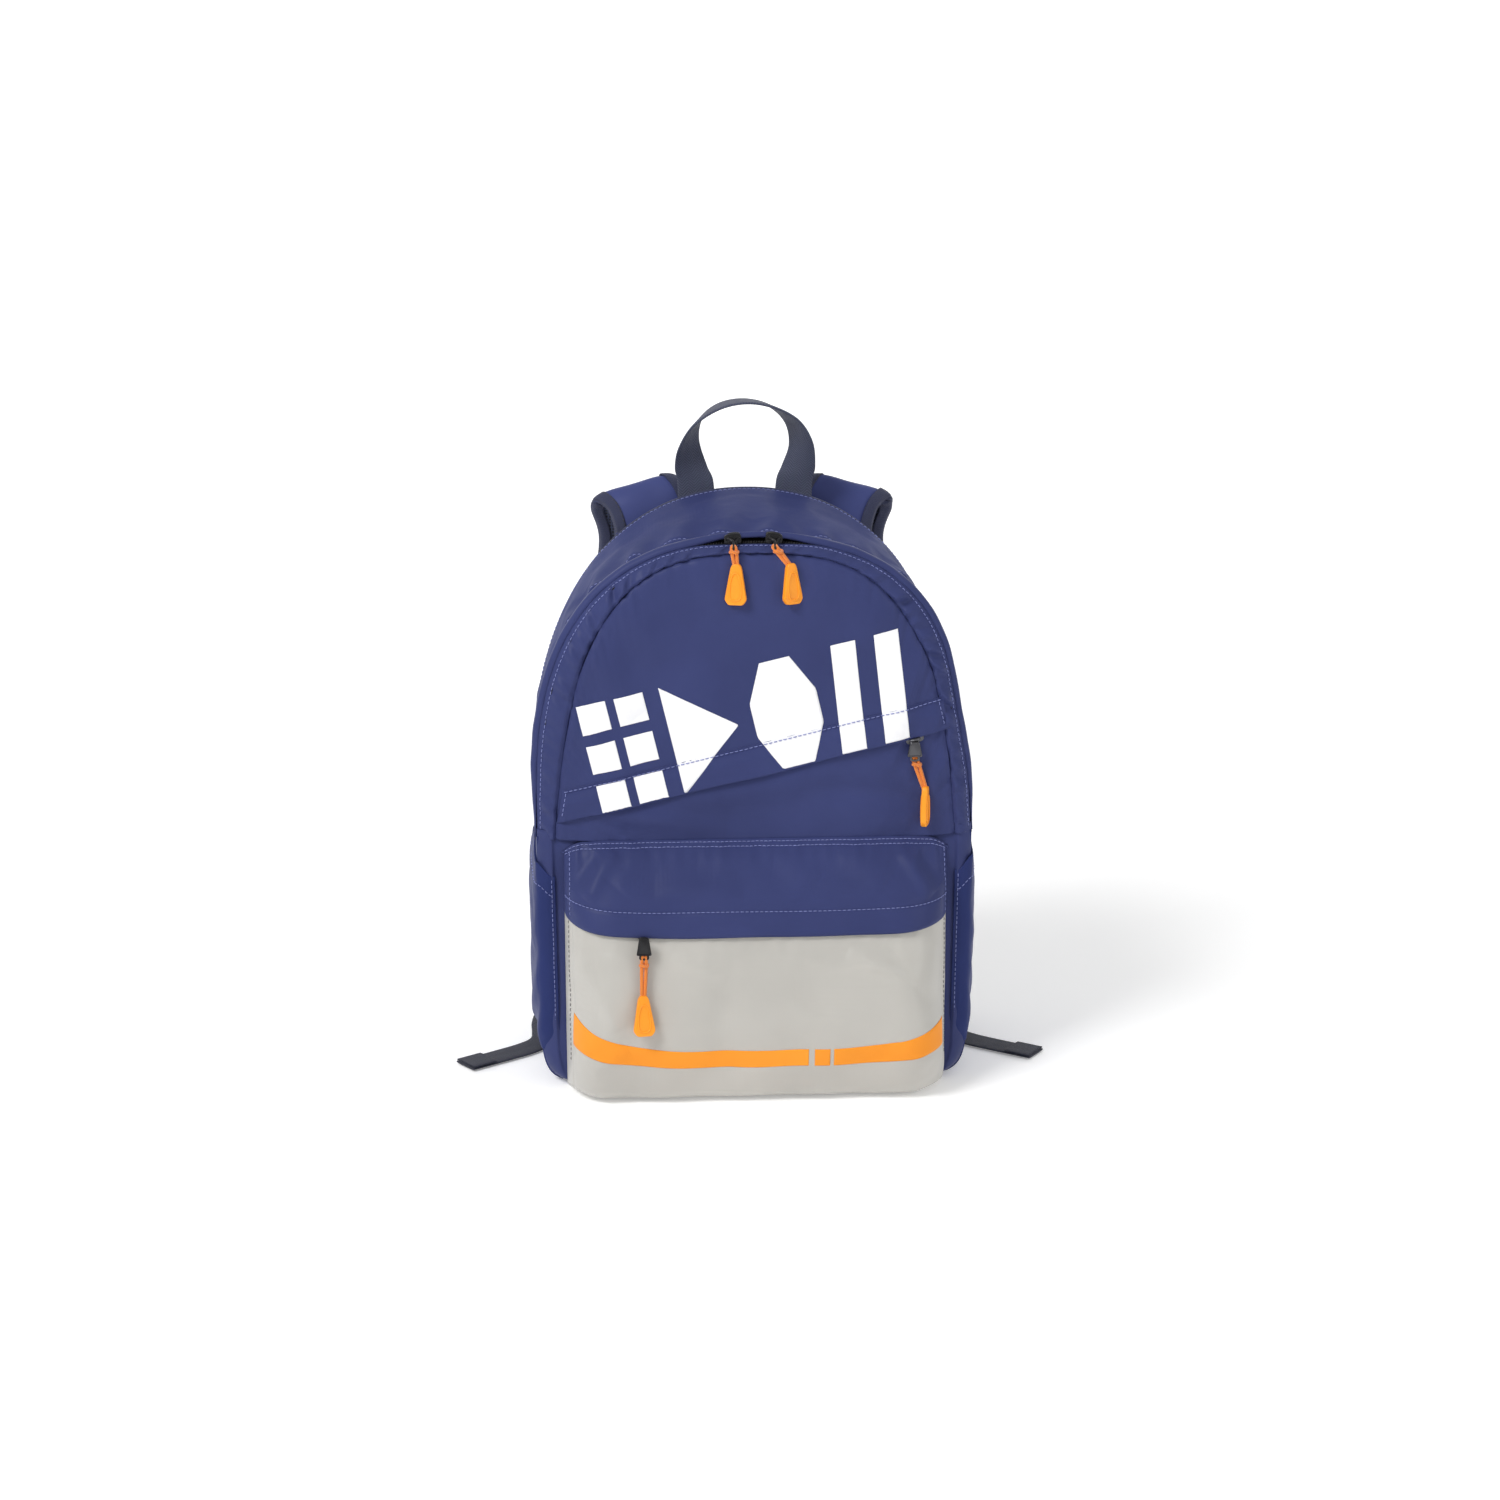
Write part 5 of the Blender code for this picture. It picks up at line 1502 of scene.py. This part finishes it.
def make_straps():
    for side in SIDES:
        outer, inner = strap_patches(on_side(side, STRAP_STATIONS))
        for patch, cap in ((outer, 1.4), (inner, 1.2)):
            patch.settle(110, 18, pressure=1.2, grow=0.01, cap=cap, free_v=(0.08, 0.92))
        top = outer.piece(f"{side}_strap_cover", 300, 40, "strap_fabric", 0.9)
        under = inner.piece(f"{side}_strap_mesh", 300, 40, "air_mesh", 0.9)
        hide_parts(f"{side}_shoulder_strap")
        bindings, rows = [], []
        u = np.linspace(0.005, 0.995, 900)
        for edge, at in (("outer", 0.0), ("inner", 1.0)):
            inside = 1 if at == 0 else -1
            for face, patch in (("top", outer), ("under", inner)):
                bindings.append(patch.piece(f"{side}_binding_{edge}_{face}", 300, 7, "binding", 1.0,
                                            v=(at, at + inside * 0.14), lift=0.7))
            rim = np.array([(outer.at(t, at) + inner.at(t, at)) / 2 for t in np.linspace(0, 1, 200)])
            bindings.append(joined(f"{side}_binding_{edge}_rim", [tube(rim, 1.1, 10)], "binding"))
            rows.append(stitch_row(f"{side}_strap_stitches_{edge}", outer, u, at + inside * 0.125,
                                   "dark_thread", sink=-0.5))
        ride_all([top, *bindings], f"{side}_strap")
        ride_all([under], f"{side}_strap")
        ride_all(rows, f"{side}_strap")
        make_ladder_lock(side)
        make_lower_webbing(side)


def make_ladder_lock(side):
    """The moulded buckle at the strap's end: two sides, three bars, and the webbing loop that holds it."""
    low, high = box_mm(f"{side}_ladder_lock")
    middle = (low + high) / 2
    bars = []
    for x in (low[0] + 2.4, high[0] - 2.4):
        bars.append(tube([(x, middle[1], high[2] - 1.5), (x, middle[1], low[2] + 1.5)], 2.3, 10))
    for z, radius in ((high[2] - 2.0, 2.0), (middle[2], 1.6), (low[2] + 1.8, 1.8)):
        bars.append(tube([(low[0] + 1.5, middle[1], z), (high[0] - 1.5, middle[1], z)], radius, 10))
    lock = joined(f"{side}_lock_moulded", bars, "black_plastic")
    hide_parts(f"{side}_ladder_lock")
    ride_all([lock], f"{side}_strap")
    loop = [(SIDES[side] * LOCK_X, y, z, KEEPER_WIDTH, 0, 0) for y, z in KEEPER_LOOP]
    keeper = band(f"{side}_lock_keeper", loop, 1.5, "dark_webbing", 40)
    ride_all([keeper], f"{side}_strap")


TAIL_STEPS = 160


def make_lower_webbing(side):
    """The webbing from the anchor tab to the lock, its tail with a turned end, and the anchor tab."""
    tail = on_side(side, TAIL_STATIONS)
    web = band(f"{side}_lower_band", on_side(side, LOWER_STATIONS), 1.5, "dark_webbing", 80)
    end = band(f"{side}_tail_band", tail, 1.6, "dark_webbing", TAIL_STEPS)
    fold = band(f"{side}_tail_hem", hem_stations(tail), 1.4, "dark_webbing", 24)
    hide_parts(f"{side}_lower_webbing")
    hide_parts(f"{side}_strap_tail")
    sign = SIDES[side]

    def tab_surface(u, v):
        x = sign * (141 - 36 * u)
        z = 6.0 + (30.0 - 4 * u) * (1 - v) + 2 * u
        return stacked(x, 71.2 + 1.5 * np.sin(math.pi * u) * np.sin(math.pi * v), z)

    patch = Patch(tab_surface, 1 if sign < 0 else -1)
    tab = patch.piece(f"{side}_anchor_cloth", 30, 20, "navy_side", 1.6)
    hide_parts(f"{side}_anchor_tab")
    t = np.linspace(0.12, 0.88, 200)
    rows = [stitch_row(f"{side}_anchor_stitches_{i}", patch, a, b, "dark_thread")
            for i, (a, b) in enumerate(((t, t), (t, 1 - t), (t, 0.12), (t, 0.88)))]
    ride_all([web, end, fold], "pack")
    ride_all([tab], "pack")
    ride_all(rows, "pack")


def hem_stations(tail):
    """The last stretch of a tail, for the turned and sewn end lying on it."""
    a, b = np.array(tail[-2], float), np.array(tail[-1], float)
    span = np.linalg.norm(b[:3] - a[:3])
    lift = np.array([0, 0, 1.5, 0, 0, 0])
    return [b + (a - b) * reach / span + lift for reach in (20, 10, 0.5)]


# The back: a padded mesh panel and the yoke that the straps come out of.

def outline_back():
    arch_part = BACK_EDGE[::3]
    side = SIDE_LINE[::8]
    right = np.stack([-side[:, 0], side[:, 1]], axis=1)
    ring = np.concatenate([arch_part, right[1:], side[::-1][:-1]])
    return resampled(np.concatenate([ring, ring[:1]]), 1201)


BACK_RING = outline_back()
PAD_MIDDLE_Z = 195
CHANNEL_HEIGHTS = (128, 250)
YOKE_HALF, YOKE_TOP, YOKE_DEPTH = 91, 371, 33


def back_pad_surface(u, v):
    border = on_path(BACK_RING, u)
    inner = stacked(0.0, PAD_MIDDLE_Z + (border[..., 1] - PAD_MIDDLE_Z) * 0.45)
    spot = border * (1 - v)[..., None] + inner * v[..., None]
    x, z = spot[..., 0], spot[..., 1]
    away = np.linalg.norm(border - spot, axis=-1)
    y = BACK_Y + (BACK_FACE - BACK_Y + 1.5) * (1 - np.exp(-away / 7)) ** 0.8
    channel = 4.5 * np.exp(-((np.abs(x) - 30 - 10 * np.cos(z / 120)) / 4.5) ** 2)
    for height in CHANNEL_HEIGHTS:
        channel += 3.0 * np.exp(-((z - height) / 4) ** 2) * (np.abs(x) > 44)
    y -= channel * rise(away, 5, 25)
    return stacked(x, y, z)


def make_back():
    pad = Patch(back_pad_surface, 1)
    pad.settle(220, 30, pressure=1.5, grow=0.008, cap=2.0, free_u=(0.001, 0.999), free_v=(0.03, 0.97))
    cloth = pad.piece("back_pad_mesh", 601, 90, "air_mesh", 1.0)
    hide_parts("back_mesh", "back_foam")
    rim = on_path(BACK_RING, np.linspace(0, 1, 500, endpoint=False))
    rim = np.stack([rim[:, 0], np.full(500, BACK_Y + 1.0), rim[:, 1]], axis=1)
    inward = rim * np.array([0.995, 1, 0.995]) + np.array([0, 0, 1.2])
    piping = joined("back_piping", [tube(inward, 1.9, 8, closed=True)], "binding")

    def yoke_surface(u, v):
        x = -YOKE_HALF + 2 * YOKE_HALF * u
        z = YOKE_TOP - YOKE_DEPTH * v - 7 * (np.abs(x) / YOKE_HALF) ** 3 * (1 - v)
        y = 72.2 + 1.2 * np.sin(math.pi * v) + ripples(x, 111, 40, 0.4) * np.sin(math.pi * u)
        return stacked(x, y, z)

    yoke = Patch(yoke_surface, 1)
    cover = yoke.piece("yoke_cloth", 120, 34, "navy_fabric", 1.6)
    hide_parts("strap_yoke")
    t = np.linspace(0.02, 0.98, 500)
    rows = [stitch_row(f"yoke_stitches_{name}", yoke, t, v, "dark_thread")
            for name, v in (("low", 0.9), ("top", 0.1))]
    ride_all([cloth], "pack")
    ride_all([cover, piping], "pack")
    ride_all(rows, "pack")


make_camera()
make_stage()
make_gusset()
make_main_zip()
make_front_panel()
make_sides()
make_hidden_body()
make_pocket()
make_main_pulls()
make_small_pulls()
make_handle()
make_straps()
make_back()
